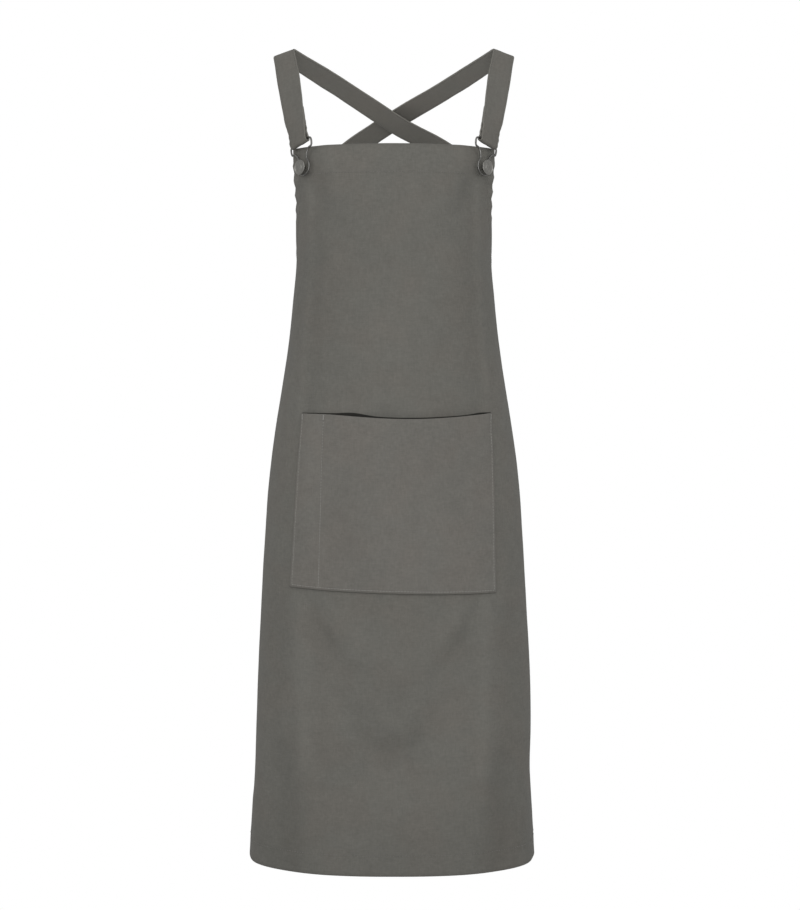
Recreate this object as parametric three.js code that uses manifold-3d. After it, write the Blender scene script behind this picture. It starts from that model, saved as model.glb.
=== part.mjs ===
// Cross back apron, in the shape it keeps when worn: a canvas bib and wrap skirt in one panel, a patch
// pocket, and two straps that hang from wire hooks on the bib, pass over the shoulders and cross behind.
// Millimetres, +Z up, -Y the front. The origin lies midway between the tops of the two shoulders.
import * as THREE from 'three';
import { mergeVertices } from 'three/addons/utils/BufferGeometryUtils.js';
import Module from 'manifold-3d';

const wasm = await Module();
wasm.setup();

// Panel
const apronLength = 872;        // bib's top edge down to the hem
const bibDrop = 120.5;          // shoulder tops down to the bib's top edge
const cornerSag = 3;            // how much lower the bib's top corners hang than its middle
const sagDepth = 24;            // how far down the bib that sag dies away
const bibFlatWidth = 277;       // bib's top edge, measured along the cloth
const cornerFlatWidth = 500;    // at the back corners, where the armhole curves end
const hemFlatWidth = 700;       // round the hem
const cornerDown = 160;         // bib's top edge down to the back corners
const armholeBend = 3.2;        // how sharply the armhole curves turn outwards
const clothThickness = 1.4;
const hemThickness = 2.4;       // folded edges
const sideHem = 15;             // width of the folded hem along the armholes and the back edges
const topHem = 36;              // width of the folded hem along the bib's top
const footHem = 26;             // width of the folded hem along the foot
const hemStep = 1.5;            // over which the inner face steps down from a hem

// Form that the cloth lies round
const chestWidth = 277;
const waistWidth = 242;
const hemWidth = 358;
const frontReach = 130;         // origin to the front of the hem
const backReach = 125;          // origin to the back of the hem

// Pocket
const pocketDown = 320;         // bib's top edge down to the ends of the pocket's mouth
const pocketHeight = 214;       // down its +X side
const pocketWidth = 255;        // along its foot
const pocketCentre = -1;        // how far its middle lies to the +X side
const mouthSag = 6;             // how much the mouth's middle hangs below its ends
const mouthGape = 8;            // how far the mouth stands off the panel
const pocketTaper = 11;         // how much further in its -X side starts at the mouth
const footRise = 7;             // how much higher its foot lies at the -X side
const penSlotWidth = 30;        // narrow slot that a stitched line divides off at the -X side
const pocketThickness = 1.4;
const slotGape = 3;             // how far the pen slot's mouth stands off
const pocketEase = 0.25;        // more room under the pocket, whose facets differ from the panel's

// Straps
const strapWidth = 30.6;
const strapThickness = 2.4;
const shoulderSpan = 269.5;       // between the middles of the straps, over the shoulders
const shoulderTilt = 16;        // degrees that the strap's outer edge dips on the shoulder
const shoulderSkew = 29;        // degrees that the fold over the shoulder is turned, outer end back
const foldBend = 9;             // length of strap on each side of the fold that its round bend takes up
const crossDrop = 75;           // shoulder tops down to where the straps cross
const crossReach = 101;         // origin back to where they cross
const crossShift = 3;           // how far the crossing lies to the +X side
const strapTail = 44;           // folded back behind the strap above the buckle
const seatLength = 34;          // sewn under the panel's back corner
const seatEase = 3;             // more room between a strap and the curved hem over its seam
const seatSlant = 25;           // degrees that the seam leans towards the middle of the back
const ribSwell = 23;            // how far a strap stands out between the crossing and its seam
const strapAside = 2;           // how far a strap has slid along its bar, outwards
const barGather = 0.86;         // share of its width that a strap keeps where it is gathered on its bar

// Hooks and buttons
const wireDiameter = 2.3;
const wireBend = 4.2;           // radius of the wire's corners, to its centre
const topLoopWidth = 38;        // between wire centres, over the ends of the strap bar
const hookHeight = 32;          // middle of the round loop up to the strap bar
const topLoopHeight = 12;       // strap bar down to the shoulders of the wire
const waistWireWidth = 20;      // between wire centres, under the shoulders of the wire
const neckWidth = 14;           // between wire centres, above the button
const lowLoopRadius = 9.8;      // of the round loop, to the wire's centre
const hookTurn = 48;            // degrees that the hook faces away from the front
const hookLean = 18;            // degrees that it leans back
const hookTilt = 7.5;           // degrees that its top leans outwards
const hookStand = 3.6;          // cloth out to the wire's centre, at the button
const hookAside = 3;            // how far the round loop's middle lies inwards of the stud
const buttonDiameter = 18;
const buttonThickness = 3;
const rimWidth = 1.7;
const dishDepth = 0.6;          // the face inside the rim
const edgeRound = 0.6;
const bossDiameter = 7;         // raised middle of the face
const studDiameter = 5;
const studHeight = 5.8;         // cloth to the underside of the button
const buttonDown = 26;          // bib's top edge down to the button's middle
const buttonInset = 22.7;       // bib's side edge in to the button's middle, along the cloth
const rivetDiameter = 10;
const rivetThickness = 1.2;
const rivetEase = 0.4;          // more room under the rivet, since the cloth there is curved

const seamGap = 0.3;            // left between pieces that touch
const crossEase = 3.4;          // more room left between the straps where they cross
const crossSpread = 60;         // length of strap over which they part for each other

// The form's sections. down and the reaches are shares of the apron's length, frontReach and backReach;
// chest and skirt are the shares of the width that the chest and the hem have over the waist's;
// square is how boxy the section is, 2 being an ellipse.
const formRows = [
  { down: 0.00, chest: 0.72, skirt: 0.00, front: 0.77, back: 0.98, square: 2.30 },
  { down: 0.03, chest: 0.78, skirt: 0.00, front: 0.85, back: 0.97, square: 2.30 },
  { down: 0.09, chest: 0.22, skirt: 0.00, front: 0.92, back: 0.90, square: 2.35 },
  { down: 0.15, chest: -0.05, skirt: 0.00, front: 0.93, back: 0.80, square: 2.40 },
  { down: 0.21, chest: 0.00, skirt: 0.05, front: 0.92, back: 0.74, square: 2.45 },
  { down: 0.27, chest: 0.00, skirt: 0.15, front: 0.92, back: 0.77, square: 2.50 },
  { down: 0.33, chest: 0.00, skirt: 0.285, front: 0.93, back: 0.84, square: 2.55 },
  { down: 0.44, chest: 0.00, skirt: 0.54, front: 0.96, back: 0.95, square: 2.60 },
  { down: 0.55, chest: 0.00, skirt: 0.69, front: 0.98, back: 0.98, square: 2.55 },
  { down: 0.70, chest: 0.00, skirt: 0.82, front: 0.985, back: 0.99, square: 2.50 },
  { down: 0.87, chest: 0.00, skirt: 0.90, front: 0.99, back: 1.00, square: 2.45 },
  { down: 1.00, chest: 0.00, skirt: 1.00, front: 1.00, back: 1.00, square: 2.36 },
];

// Soft folds, each a ridge (lift above 0) or a hollow along a line over the panel, on the sides that it
// names. around is a share of half the hem's flat width, down of the apron's length, spread and lift
// are shares of the reach to the front.
const both = [-1, 1];
const foldRows = [
  { sides: both, around: 0.36, down: 0.66, toAround: 0.33, toDown: 0.86, spread: 0.16, lift: 0.016 },
  { sides: both, around: 0.22, down: 0.66, toAround: 0.04, toDown: 0.80, spread: 0.14, lift: 0.018 },
  { sides: both, around: 0.14, down: 0.78, toAround: 0.00, toDown: 0.86, spread: 0.15, lift: -0.016 },
  { sides: both, around: 0.50, down: 0.72, toAround: 0.54, toDown: 1.00, spread: 0.20, lift: 0.020 },
  { sides: both, around: 0.68, down: 0.55, toAround: 0.74, toDown: 1.00, spread: 0.20, lift: -0.020 },
  { sides: both, around: 0.90, down: 0.45, toAround: 0.93, toDown: 1.00, spread: 0.16, lift: 0.022 },
  { sides: both, around: 0.40, down: 0.20, toAround: 0.42, toDown: 0.32, spread: 0.10, lift: 0.010 },
  { sides: both, around: 0.30, down: 0.05, toAround: 0.12, toDown: 0.16, spread: 0.12, lift: -0.012 },
  { sides: [-1], around: 0.75, down: 0.93, toAround: 0.75, toDown: 1.01, spread: 0.20, lift: 0.030 },
  { sides: [1], around: 0.60, down: 0.90, toAround: 0.60, toDown: 1.01, spread: 0.32, lift: -0.040 },
];

// The front of a strap, from the buckle's bar to the ridge of the shoulder: shares of the way up, outwards
// and back. turn is the share of the hook's turn that the cloth still has.
const frontRows = [
  { up: 0.30, aside: 0.28, back: 0.23, turn: 0.82 },
  { up: 0.68, aside: 0.64, back: 0.61, turn: 0.58 },
];

// The back of a strap: aside is the share of the way out from the crossing to the shoulder's ridge, minus
// past the crossing, back a share of crossReach and drop of crossDrop. The last rows run from there to the
// seam, along being the share of that way. facing is how far the cloth has turned towards its seam.
const backRows = [
  { aside: 0.52, back: 0.59, drop: 0.47, facing: 0 },
  { aside: 0.00, back: 1.00, drop: 1.00, facing: 0 },
  { aside: -0.38, back: 1.20, drop: 1.42, facing: 0.08 },
];
const ribRows = [
  { along: 0.33, facing: 0.5 },
  { along: 0.67, facing: 0.85 },
];
const swellWay = { aside: 0.63, back: 0.71, up: 0.33 };

// The seam's stations below the panel's corner, as shares of its length, and the strap's tail above the
// bar: up is a share of its length, open how far the loop's width still parts it from the front.
const seatShares = [-0.9, -0.35, 0.18, 1];
const tailRows = [
  { up: 1.00, open: 0.00 },
  { up: 0.50, open: 0.00 },
  { up: 0.12, open: 0.76 },
];

// The pocket's rows of points, as shares of its height.
const pocketShares = [0, 0.04, 0.1, 0.2, 0.32, 0.45, 0.6, 0.75, 0.88, 1];

// How finely the shapes are cut.
const topHemRowCount = 3;
const chestRowCount = 11;
const skirtRowCount = 24;
const halfColumnCount = 13;
const pocketColumnCount = 14;
const slotColumnCount = 3;
const strapRunSteps = 4;
const foldSteps = 5;
const loopSteps = 6;
const wireSteps = 78;
const wireSides = 6;
const roundLoopSteps = 5;
const buttonSides = 20;
const holeSides = 16;

const degrees = Math.PI / 180;
const mix = THREE.MathUtils.lerp;

// Reads one column of the form's rows at a share of the apron's length, along a smooth curve.
function formValue(column, share) {
  const last = formRows.length - 1;
  let row = 0;
  while (row < last - 1 && share > formRows[row + 1].down) row += 1;
  const here = formRows[row];
  const next = formRows[row + 1];
  const before = formRows[Math.max(row - 1, 0)];
  const after = formRows[Math.min(row + 2, last)];
  const slopeHere = (next[column] - before[column]) / (next.down - before.down);
  const slopeNext = (after[column] - here[column]) / (after.down - here.down);
  const gap = next.down - here.down;
  const t = (share - here.down) / gap;
  const t2 = t * t;
  const t3 = t2 * t;
  return here[column] * (2 * t3 - 3 * t2 + 1) + next[column] * (3 * t2 - 2 * t3)
    + gap * (slopeHere * (t3 - 2 * t2 + t) + slopeNext * (t3 - t2));
}

// Half of the form's outline at one height, from the front's middle to the back's, as points with the
// length of cloth that reaches each.
const outlineSteps = 240;
const outlines = new Map();
function outlineAt(down) {
  const share = down / apronLength;
  if (outlines.has(share)) return outlines.get(share);
  const half = waistWidth / 2 + formValue('chest', share) * (chestWidth - waistWidth) / 2
    + formValue('skirt', share) * (hemWidth - waistWidth) / 2;
  const front = frontReach * formValue('front', share);
  const back = backReach * formValue('back', share);
  const power = 2 / formValue('square', share);
  const points = [];
  let length = 0;
  for (let step = 0; step <= outlineSteps; step += 1) {
    const angle = Math.PI * step / outlineSteps;
    const reach = Math.cos(angle) > 0 ? -front : back;
    const x = half * Math.abs(Math.sin(angle)) ** power;
    const y = reach * Math.abs(Math.cos(angle)) ** power;
    const previous = points[step - 1];
    if (previous) length += Math.hypot(x - previous.x, y - previous.y);
    points.push({ x, y, length });
  }
  outlines.set(share, points);
  return points;
}

// A point on the form: around is the length of cloth from the front's middle, minus on the -X side.
function formPoint(around, down) {
  const points = outlineAt(down);
  const length = Math.abs(around);
  let low = 0;
  let high = points.length - 1;
  while (high - low > 1) {
    const middle = (low + high) >> 1;
    if (points[middle].length > length) high = middle;
    else low = middle;
  }
  const a = points[low];
  const b = points[high];
  const t = (length - a.length) / (b.length - a.length);
  const x = Math.sign(around) * mix(a.x, b.x, t);
  return new THREE.Vector3(x, mix(a.y, b.y, t), -bibDrop - down);
}

// The way out of the form at a point.
const probe = 2;
function formNormal(around, down) {
  const across = formPoint(around + probe, down).sub(formPoint(around - probe, down));
  const upright = formPoint(around, down - probe).sub(formPoint(around, down + probe));
  return across.cross(upright).normalize();
}

// How far the cloth stands off the form in its soft folds.
function foldLift(around, down) {
  let lift = 0;
  for (const fold of foldRows) {
    for (const side of fold.sides) {
      const ax = side * fold.around * hemFlatWidth / 2;
      const ay = fold.down * apronLength;
      const bx = side * fold.toAround * hemFlatWidth / 2;
      const by = fold.toDown * apronLength;
      const length = Math.hypot(bx - ax, by - ay);
      const along = ((around - ax) * (bx - ax) + (down - ay) * (by - ay)) / length;
      const past = along - THREE.MathUtils.clamp(along, 0, length);
      const off = ((around - ax) * (by - ay) - (down - ay) * (bx - ax)) / length;
      const spread = fold.spread * frontReach;
      lift += fold.lift * frontReach * Math.exp(-(off * off + past * past / 2) / (spread * spread));
    }
  }
  return lift;
}

// A point on the panel's outer face, or lifted off it.
function clothPoint(around, down, lift = 0) {
  const sag = cornerSag * (around / (bibFlatWidth / 2)) ** 2 * Math.exp(-down / sagDepth);
  const point = formPoint(around, down);
  point.addScaledVector(formNormal(around, down), foldLift(around, down) + lift);
  point.z -= sag;
  return point;
}

// Half of the panel's flat width at one height: the bib, the armhole curve, then the back edge.
function panelHalf(down) {
  const bib = bibFlatWidth / 2;
  const corner = cornerFlatWidth / 2;
  if (down <= cornerDown) return bib + (corner - bib) * (down / cornerDown) ** armholeBend;
  const share = (down - cornerDown) / (apronLength - cornerDown);
  return corner + (hemFlatWidth / 2 - corner) * Math.sin(share * Math.PI / 2);
}

// Joins two grids of points, the outer and the inner face of a sheet, into one closed solid.
function sheetGeometry(outer, inner) {
  const rows = outer.length;
  const columns = outer[0].length;
  const positions = [];
  for (const face of [outer, inner]) {
    for (const row of face) {
      for (const point of row) positions.push(point.x, point.y, point.z);
    }
  }
  const at = (face, row, column) => (face * rows + row) * columns + column;
  const index = [];
  const quad = (a, b, c, d) => index.push(a, b, c, a, c, d);
  for (let row = 0; row < rows - 1; row += 1) {
    for (let column = 0; column < columns - 1; column += 1) {
      quad(at(0, row, column), at(0, row + 1, column), at(0, row + 1, column + 1), at(0, row, column + 1));
      quad(at(1, row, column), at(1, row, column + 1), at(1, row + 1, column + 1), at(1, row + 1, column));
    }
  }
  for (let row = 0; row < rows - 1; row += 1) {
    quad(at(1, row, 0), at(1, row + 1, 0), at(0, row + 1, 0), at(0, row, 0));
    const end = columns - 1;
    quad(at(0, row, end), at(0, row + 1, end), at(1, row + 1, end), at(1, row, end));
  }
  for (let column = 0; column < columns - 1; column += 1) {
    quad(at(0, 0, column), at(0, 0, column + 1), at(1, 0, column + 1), at(1, 0, column));
    const foot = rows - 1;
    quad(at(1, foot, column), at(1, foot, column + 1), at(0, foot, column + 1), at(0, foot, column));
  }
  const geometry = new THREE.BufferGeometry();
  geometry.setAttribute('position', new THREE.Float32BufferAttribute(positions, 3));
  geometry.setIndex(index);
  return geometry;
}

// Values spread evenly from one to another, both included.
function spaced(from, to, count) {
  return Array.from({ length: count + 1 }, (_, step) => mix(from, to, step / count));
}

// Turns a mesh's geometry into a solid for cutting, and a solid back into geometry.
function toSolid(geometry) {
  const plain = new THREE.BufferGeometry();
  plain.setAttribute('position', geometry.getAttribute('position').clone());
  if (geometry.index) plain.setIndex(geometry.index.clone());
  const merged = mergeVertices(plain, 1e-4);
  return new wasm.Manifold(new wasm.Mesh({
    numProp: 3,
    vertProperties: new Float32Array(merged.getAttribute('position').array),
    triVerts: new Uint32Array(merged.index.array),
  }));
}

function toGeometry(solid) {
  const mesh = solid.getMesh();
  const geometry = new THREE.BufferGeometry();
  geometry.setAttribute('position', new THREE.Float32BufferAttribute(Array.from(mesh.vertProperties), 3));
  geometry.setIndex(Array.from(mesh.triVerts));
  return geometry;
}

// The panel. Its folded hems lie inside, so only its inner face steps.
function panelGeometry() {
  const downs = [
    ...spaced(0, topHem, topHemRowCount), topHem + hemStep,
    ...spaced(topHem + hemStep, cornerDown, chestRowCount).slice(1),
    ...spaced(cornerDown, apronLength - footHem - hemStep, skirtRowCount).slice(1),
    ...spaced(apronLength - footHem, apronLength, 1),
  ];
  const shares = spaced(0, 1, halfColumnCount);
  const outer = [];
  const inner = [];
  for (const down of downs) {
    const half = panelHalf(down);
    const flat = half - sideHem - hemStep;
    const halfColumns = [...shares.map((share) => share * flat), half - sideHem, half];
    const columns = [...halfColumns.slice(1).reverse().map((around) => -around), ...halfColumns];
    const inTopHem = down <= topHem;
    const inFootHem = down >= apronLength - footHem;
    outer.push(columns.map((around) => clothPoint(around, down)));
    inner.push(columns.map((around) => {
      const inSideHem = Math.abs(around) >= half - sideHem;
      const wall = inTopHem || inFootHem || inSideHem ? hemThickness : clothThickness;
      return clothPoint(around, down, -wall);
    }));
  }
  return sheetGeometry(outer, inner);
}

// The pocket's own grid. Along its sides, its foot and the pen slot's line it lies on the panel.
function pocketGrid(lift) {
  const left = pocketCentre - pocketWidth / 2;
  const right = pocketCentre + pocketWidth / 2;
  const slotShare = penSlotWidth / pocketWidth;
  const across = [
    ...spaced(0, slotShare, slotColumnCount), ...spaced(slotShare, 1, pocketColumnCount).slice(1),
  ];
  return pocketShares.map((share) => across.map((column) => {
    const start = left + pocketTaper * (1 - share);
    const around = mix(start, right, column);
    const middle = 2 * column - 1;
    const mouth = pocketDown + mouthSag * (1 - middle * middle);
    const foot = pocketDown + pocketHeight - footRise * (1 - column) ** 2;
    const down = mix(mouth, foot, share);
    const inSlot = column < slotShare;
    const cell = inSlot ? column / slotShare : (column - slotShare) / (1 - slotShare);
    const bulge = (inSlot ? slotGape : mouthGape) * Math.sin(Math.PI * cell) * (1 - share);
    return clothPoint(around, down, seamGap + pocketEase + bulge + lift);
  }));
}

// The frame of one hook: its stud point on the panel, the way up its height, across it and out of it.
function hookFrame(side) {
  const around = side * (panelHalf(buttonDown) - buttonInset);
  const stud = clothPoint(around, buttonDown, 0);
  const normal = formNormal(around, buttonDown);
  const level = new THREE.Vector3(-side * Math.cos(hookTurn * degrees), -Math.sin(hookTurn * degrees), 0);
  const lean = hookLean * degrees;
  const up = new THREE.Vector3(
    side * Math.tan(hookTilt * degrees), Math.sin(lean), Math.cos(lean)).normalize();
  const across = level.addScaledVector(up, -level.dot(up)).normalize();
  const out = side < 0 ? across.clone().cross(up) : up.clone().cross(across);
  const seat = stud.clone().addScaledVector(normal, hookStand).addScaledVector(across, hookAside);
  const place = (u, v, w = 0) => seat.clone().addScaledVector(across, u).addScaledVector(up, v)
    .addScaledVector(out, w);
  return { side, stud, normal, across, up, out, place };
}

// The hook: one bent wire, a wide loop for the strap above and a round loop for the button below. Each
// corner of its run is a bend whose middle point lies inset from the corner.
function hookGeometry(frame) {
  const wide = topLoopWidth / 2;
  const waist = waistWireWidth / 2;
  const neck = neckWidth / 2;
  const shoulder = hookHeight - topLoopHeight;
  const inset = wireBend * (1 - Math.SQRT1_2);
  const neckAngle = Math.asin(neck / lowLoopRadius);
  const neckTop = lowLoopRadius * Math.cos(neckAngle) + wireDiameter;
  const arm = [
    [0, hookHeight],
    [wide / 2, hookHeight],
    [wide - wireBend, hookHeight],
    [wide - inset, hookHeight - inset],
    [wide, hookHeight - wireBend],
    [wide - inset, shoulder + inset],
    [waist + 2 * inset, shoulder],
    [waist, shoulder - 2 * inset],
    [(waist + neck) / 2, (shoulder + neckTop) / 2],
    [neck, neckTop],
  ];
  const roundStart = mix(neckAngle, Math.PI, 1 / (roundLoopSteps + 1));
  const round = spaced(roundStart, Math.PI, roundLoopSteps).map((angle) => [
    lowLoopRadius * Math.sin(angle), lowLoopRadius * Math.cos(angle),
  ]);
  const half = [...arm, ...round];
  const otherHalf = half.slice(1, -1).reverse().map(([u, v]) => [-u, v]);
  const points = [...half, ...otherHalf].map(([u, v]) => frame.place(u, v));
  const curve = new THREE.CatmullRomCurve3(points, true, 'centripetal');
  return new THREE.TubeGeometry(curve, wireSteps, wireDiameter / 2, wireSides, true);
}

// The button: a rimmed disc on a stud that goes through the cloth to a flat rivet head behind it.
function buttonGeometry() {
  const disc = buttonDiameter / 2;
  const dish = disc - rimWidth;
  const boss = bossDiameter / 2;
  const rivet = rivetDiameter / 2;
  const stud = studDiameter / 2;
  const top = studHeight + buttonThickness;
  const behind = -hemThickness - seamGap - rivetEase;
  const profile = [
    [0, behind - rivetThickness],
    [rivet - rivetThickness / 2, behind - rivetThickness],
    [rivet, behind - rivetThickness / 2],
    [rivet, behind],
    [stud, behind],
    [stud, studHeight],
    [disc - edgeRound, studHeight],
    [disc, studHeight + edgeRound],
    [disc, top - edgeRound],
    [disc - edgeRound, top],
    [dish, top],
    [dish - dishDepth, top - dishDepth],
    [boss + dishDepth, top - dishDepth],
    [boss, top],
    [0, top],
  ];
  const points = profile.map(([radius, height]) => new THREE.Vector2(radius, height));
  const geometry = new THREE.LatheGeometry(points, buttonSides);
  geometry.rotateX(Math.PI / 2);
  return geometry;
}

// Turns a shape made round +Z so that it stands on the panel at the hook's stud.
function placeOnStud(object, frame) {
  object.position.copy(frame.stud);
  object.quaternion.setFromUnitVectors(new THREE.Vector3(0, 0, 1), frame.normal);
}

function studHole(frame) {
  const radius = studDiameter / 2 + seamGap;
  const hole = new THREE.CylinderGeometry(radius, radius, 4 * hemThickness, holeSides);
  hole.rotateX(Math.PI / 2);
  const holder = new THREE.Object3D();
  placeOnStud(holder, frame);
  holder.updateMatrix();
  hole.applyMatrix4(holder.matrix);
  return toSolid(hole);
}

// The middle line of the seam that holds a strap under the panel's back corner.
function seatPoint(side, below) {
  const top = panelHalf(cornerDown) - sideHem / 2 - strapWidth / 2;
  const around = -side * (top - Math.tan(seatSlant * degrees) * below);
  const lift = -(hemThickness + seamGap + seatEase + strapThickness / 2);
  return { around, down: cornerDown + below, lift };
}

function seatStation(side, below) {
  const { around, down, lift } = seatPoint(side, below);
  const point = clothPoint(around, down, lift);
  const slant = Math.tan(seatSlant * degrees) * strapWidth / 2;
  const outerEdge = clothPoint(around - side * strapWidth / 2, down - slant, lift);
  const innerEdge = clothPoint(around + side * strapWidth / 2, down + slant, lift);
  const across = innerEdge.clone().sub(outerEdge).normalize();
  const middle = innerEdge.add(outerEdge).multiplyScalar(0.5);
  const camber = middle.sub(point).dot(formNormal(around, down));
  return { point, across, camber };
}

// Across a strap, square to the way it runs and lying in the surface that faces along normal.
function acrossSurface(side, normal, direction) {
  return normal.clone().cross(direction).normalize().multiplyScalar(side);
}

// The run of one strap: stations that each hold a middle point and the way across. It starts at the
// tail, goes down behind, round the hook's bar, up the front, over the shoulder and across the back, and
// ends sewn under the panel's back corner.
function strapStations(frame) {
  const { side, across, up, out } = frame;
  const bar = frame.place(-strapAside, hookHeight);
  const ring = wireDiameter / 2 + seamGap + strapThickness / 2;
  const front = bar.clone().addScaledVector(out, ring);
  const ridge = new THREE.Vector3(side * shoulderSpan / 2, 0, 0);
  const fold = new THREE.Vector3(
    -side, -Math.tan(shoulderSkew * degrees), Math.tan(shoulderTilt * degrees)).normalize();

  const chest = frontRows.map((row) => {
    const point = new THREE.Vector3(mix(front.x, ridge.x, row.aside),
      mix(front.y, ridge.y, row.back), mix(front.z, ridge.z, row.up));
    const turn = hookTurn * row.turn * degrees;
    const level = new THREE.Vector3(-side * Math.cos(turn), -Math.sin(turn), 0);
    const way = ridge.clone().sub(front).normalize();
    return { point, across: level.addScaledVector(way, -level.dot(way)).normalize() };
  });
  const upWay = ridge.clone().sub(chest[1].point).normalize();
  const foldStart = { point: ridge.clone().addScaledVector(upWay, -foldBend), across: fold };

  // The back. The straps cross in a plane that leans, then run round the ribs to their seams.
  const seat = seatShares.map((share) => seatStation(side, share * seatLength));
  const swell = new THREE.Vector3(-side * swellWay.aside, swellWay.back, swellWay.up).setLength(ribSwell);
  const acrossBack = backRows.map((row) => new THREE.Vector3(
    mix(crossShift, ridge.x, row.aside), crossReach * row.back, -crossDrop * row.drop));
  const past = acrossBack[acrossBack.length - 1];
  const ribs = ribRows.map((row) => past.clone().lerp(seat[0].point, row.along).add(swell));
  const points = [ridge, ...acrossBack, ...ribs, seat[0].point];
  const lean = Math.atan2(crossReach, crossDrop);
  const leaning = new THREE.Vector3(0, Math.cos(lean), Math.sin(lean));
  const seatTop = seatPoint(side, seatShares[0] * seatLength);
  const seatNormal = formNormal(seatTop.around, seatTop.down);
  const back = [...backRows, ...ribRows].map(({ facing }, place) => {
    const way = points[place + 2].clone().sub(points[place]);
    const normal = leaning.clone().lerp(seatNormal, facing);
    return { point: points[place + 1], across: acrossSurface(side, normal, way) };
  });
  const backWay = points[1].clone().sub(ridge).normalize();
  const foldEnd = { point: ridge.clone().addScaledVector(backWay, foldBend), across: fold };

  const tail = tailRows.map((row) => {
    const inward = Math.max(strapThickness + seamGap, 2 * ring * row.open);
    const point = front.clone().addScaledVector(up, strapTail * row.up).addScaledVector(out, -inward);
    return { point, across, gather: barGather };
  });
  const loop = spaced(Math.PI, 0, loopSteps).map((angle) => ({
    point: bar.clone().addScaledVector(out, ring * Math.cos(angle))
      .addScaledVector(up, -ring * Math.sin(angle)),
    across,
    gather: barGather,
  }));
  const start = { point: front, across, gather: barGather };
  const above = {
    point: front.clone().addScaledVector(up, strapTail / 3), across, gather: (1 + barGather) / 2,
  };
  return [
    ...tail, ...loop.slice(0, -1),
    ...smoothRun([start, above, ...chest, foldStart], strapRunSteps),
    ...bendRun(foldStart, ridge, foldEnd, foldSteps),
    ...smoothRun([foldEnd, ...back, ...seat], strapRunSteps),
  ];
}

// Stations along a smooth curve through a few of them.
function smoothRun(keys, steps) {
  const curve = new THREE.CatmullRomCurve3(keys.map((key) => key.point), false, 'centripetal');
  const gaps = keys.length - 1;
  return spaced(0, 1, gaps * steps).map((share) => {
    const place = Math.min(Math.floor(share * gaps + 1e-9), gaps - 1);
    const between = THREE.MathUtils.smoothstep(share * gaps - place, 0, 1);
    const across = keys[place].across.clone().lerp(keys[place + 1].across, between).normalize();
    const camber = mix(keys[place].camber ?? 0, keys[place + 1].camber ?? 0, between);
    const gather = mix(keys[place].gather ?? 1, keys[place + 1].gather ?? 1, between);
    return { point: curve.getPoint(share), across, camber, gather };
  });
}

// Stations round the bend over the shoulder, without its two ends.
function bendRun(from, ridge, to, steps) {
  const curve = new THREE.QuadraticBezierCurve3(from.point, ridge, to.point);
  return spaced(0, 1, steps).slice(1, -1).map((share) => ({
    point: curve.getPoint(share), across: from.across,
  }));
}

// The strap as a solid of even width and thickness along its stations. Where the straps cross, the one
// from the -X shoulder lies next to the back and the other over it.
function strapGeometry(frame) {
  const { side } = frame;
  const stations = strapStations(frame);
  const crossing = new THREE.Vector3(crossShift, crossReach, -crossDrop);
  const clear = (strapThickness + seamGap) / 2 + crossEase;
  const outer = [];
  const inner = [];
  stations.forEach(({ point, across, camber = 0, gather = 1 }, place) => {
    const before = stations[Math.max(place - 1, 0)].point;
    const after = stations[Math.min(place + 1, stations.length - 1)].point;
    const way = after.clone().sub(before).normalize();
    const facing = across.clone().cross(way).multiplyScalar(-side);
    const halfWidth = gather * strapWidth / 2 / facing.length();
    facing.normalize();
    const distance = point.distanceTo(crossing);
    const parting = side * clear * Math.exp(-((distance / crossSpread) ** 2));
    const middle = point.clone().addScaledVector(facing, parting);
    const row = (lift) => [-1, -0.5, 0, 0.5, 1].map((share) => middle.clone()
      .addScaledVector(across, share * halfWidth)
      .addScaledVector(facing, camber * share * share + lift));
    outer.push(row(strapThickness / 2));
    inner.push(row(-strapThickness / 2));
  });
  return side < 0 ? sheetGeometry(inner, outer) : sheetGeometry(outer, inner);
}

// Materials
const canvas = new THREE.MeshStandardMaterial({ color: 0x67665f, roughness: 0.95, metalness: 0 });
const pocketCanvas = new THREE.MeshStandardMaterial({ color: 0x6b6965, roughness: 0.95, metalness: 0 });
const strapCanvas = new THREE.MeshStandardMaterial({ color: 0x66655f, roughness: 0.95, metalness: 0 });
const gunmetal = new THREE.MeshStandardMaterial({ color: 0x4a4a48, roughness: 0.38, metalness: 1 });
const buttonMetal = new THREE.MeshStandardMaterial({ color: 0x5c5b56, roughness: 0.42, metalness: 1 });

const apron = new THREE.Group();
apron.name = 'cross_back_apron';

function add(name, geometry, material) {
  const mesh = new THREE.Mesh(geometry, material);
  mesh.name = name;
  apron.add(mesh);
  return mesh;
}

const hooks = [{ name: 'left', frame: hookFrame(-1) }, { name: 'right', frame: hookFrame(1) }];

let panel = toSolid(panelGeometry());
for (const { frame } of hooks) panel = panel.subtract(studHole(frame));
add('apron_body', toGeometry(panel), canvas);
add('pocket', sheetGeometry(pocketGrid(pocketThickness), pocketGrid(0)), pocketCanvas);
for (const { name, frame } of hooks) {
  add(`strap_${name}`, strapGeometry(frame), strapCanvas);
  add(`buckle_${name}`, hookGeometry(frame), gunmetal);
  placeOnStud(add(`button_${name}`, buttonGeometry(), buttonMetal), frame);
}

export default apron;
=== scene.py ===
"""Dresses the cross back apron: canvas panel, patch pocket, straps, wire hooks, buttons and stitching.

Every length is in millimetres until a mesh is finished, when it is brought to metres. The cloth lies on
the same worn form as the solids: around is the length of cloth from the front's middle, minus towards
the left strap, and down the length below the bib's top edge.
"""

from __future__ import annotations

import logging
import math
from dataclasses import dataclass, field
from enum import Enum
from typing import Callable, Iterable, Sequence

import bmesh
import bpy
import numpy as np
from mathutils import Matrix, Vector, noise

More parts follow.
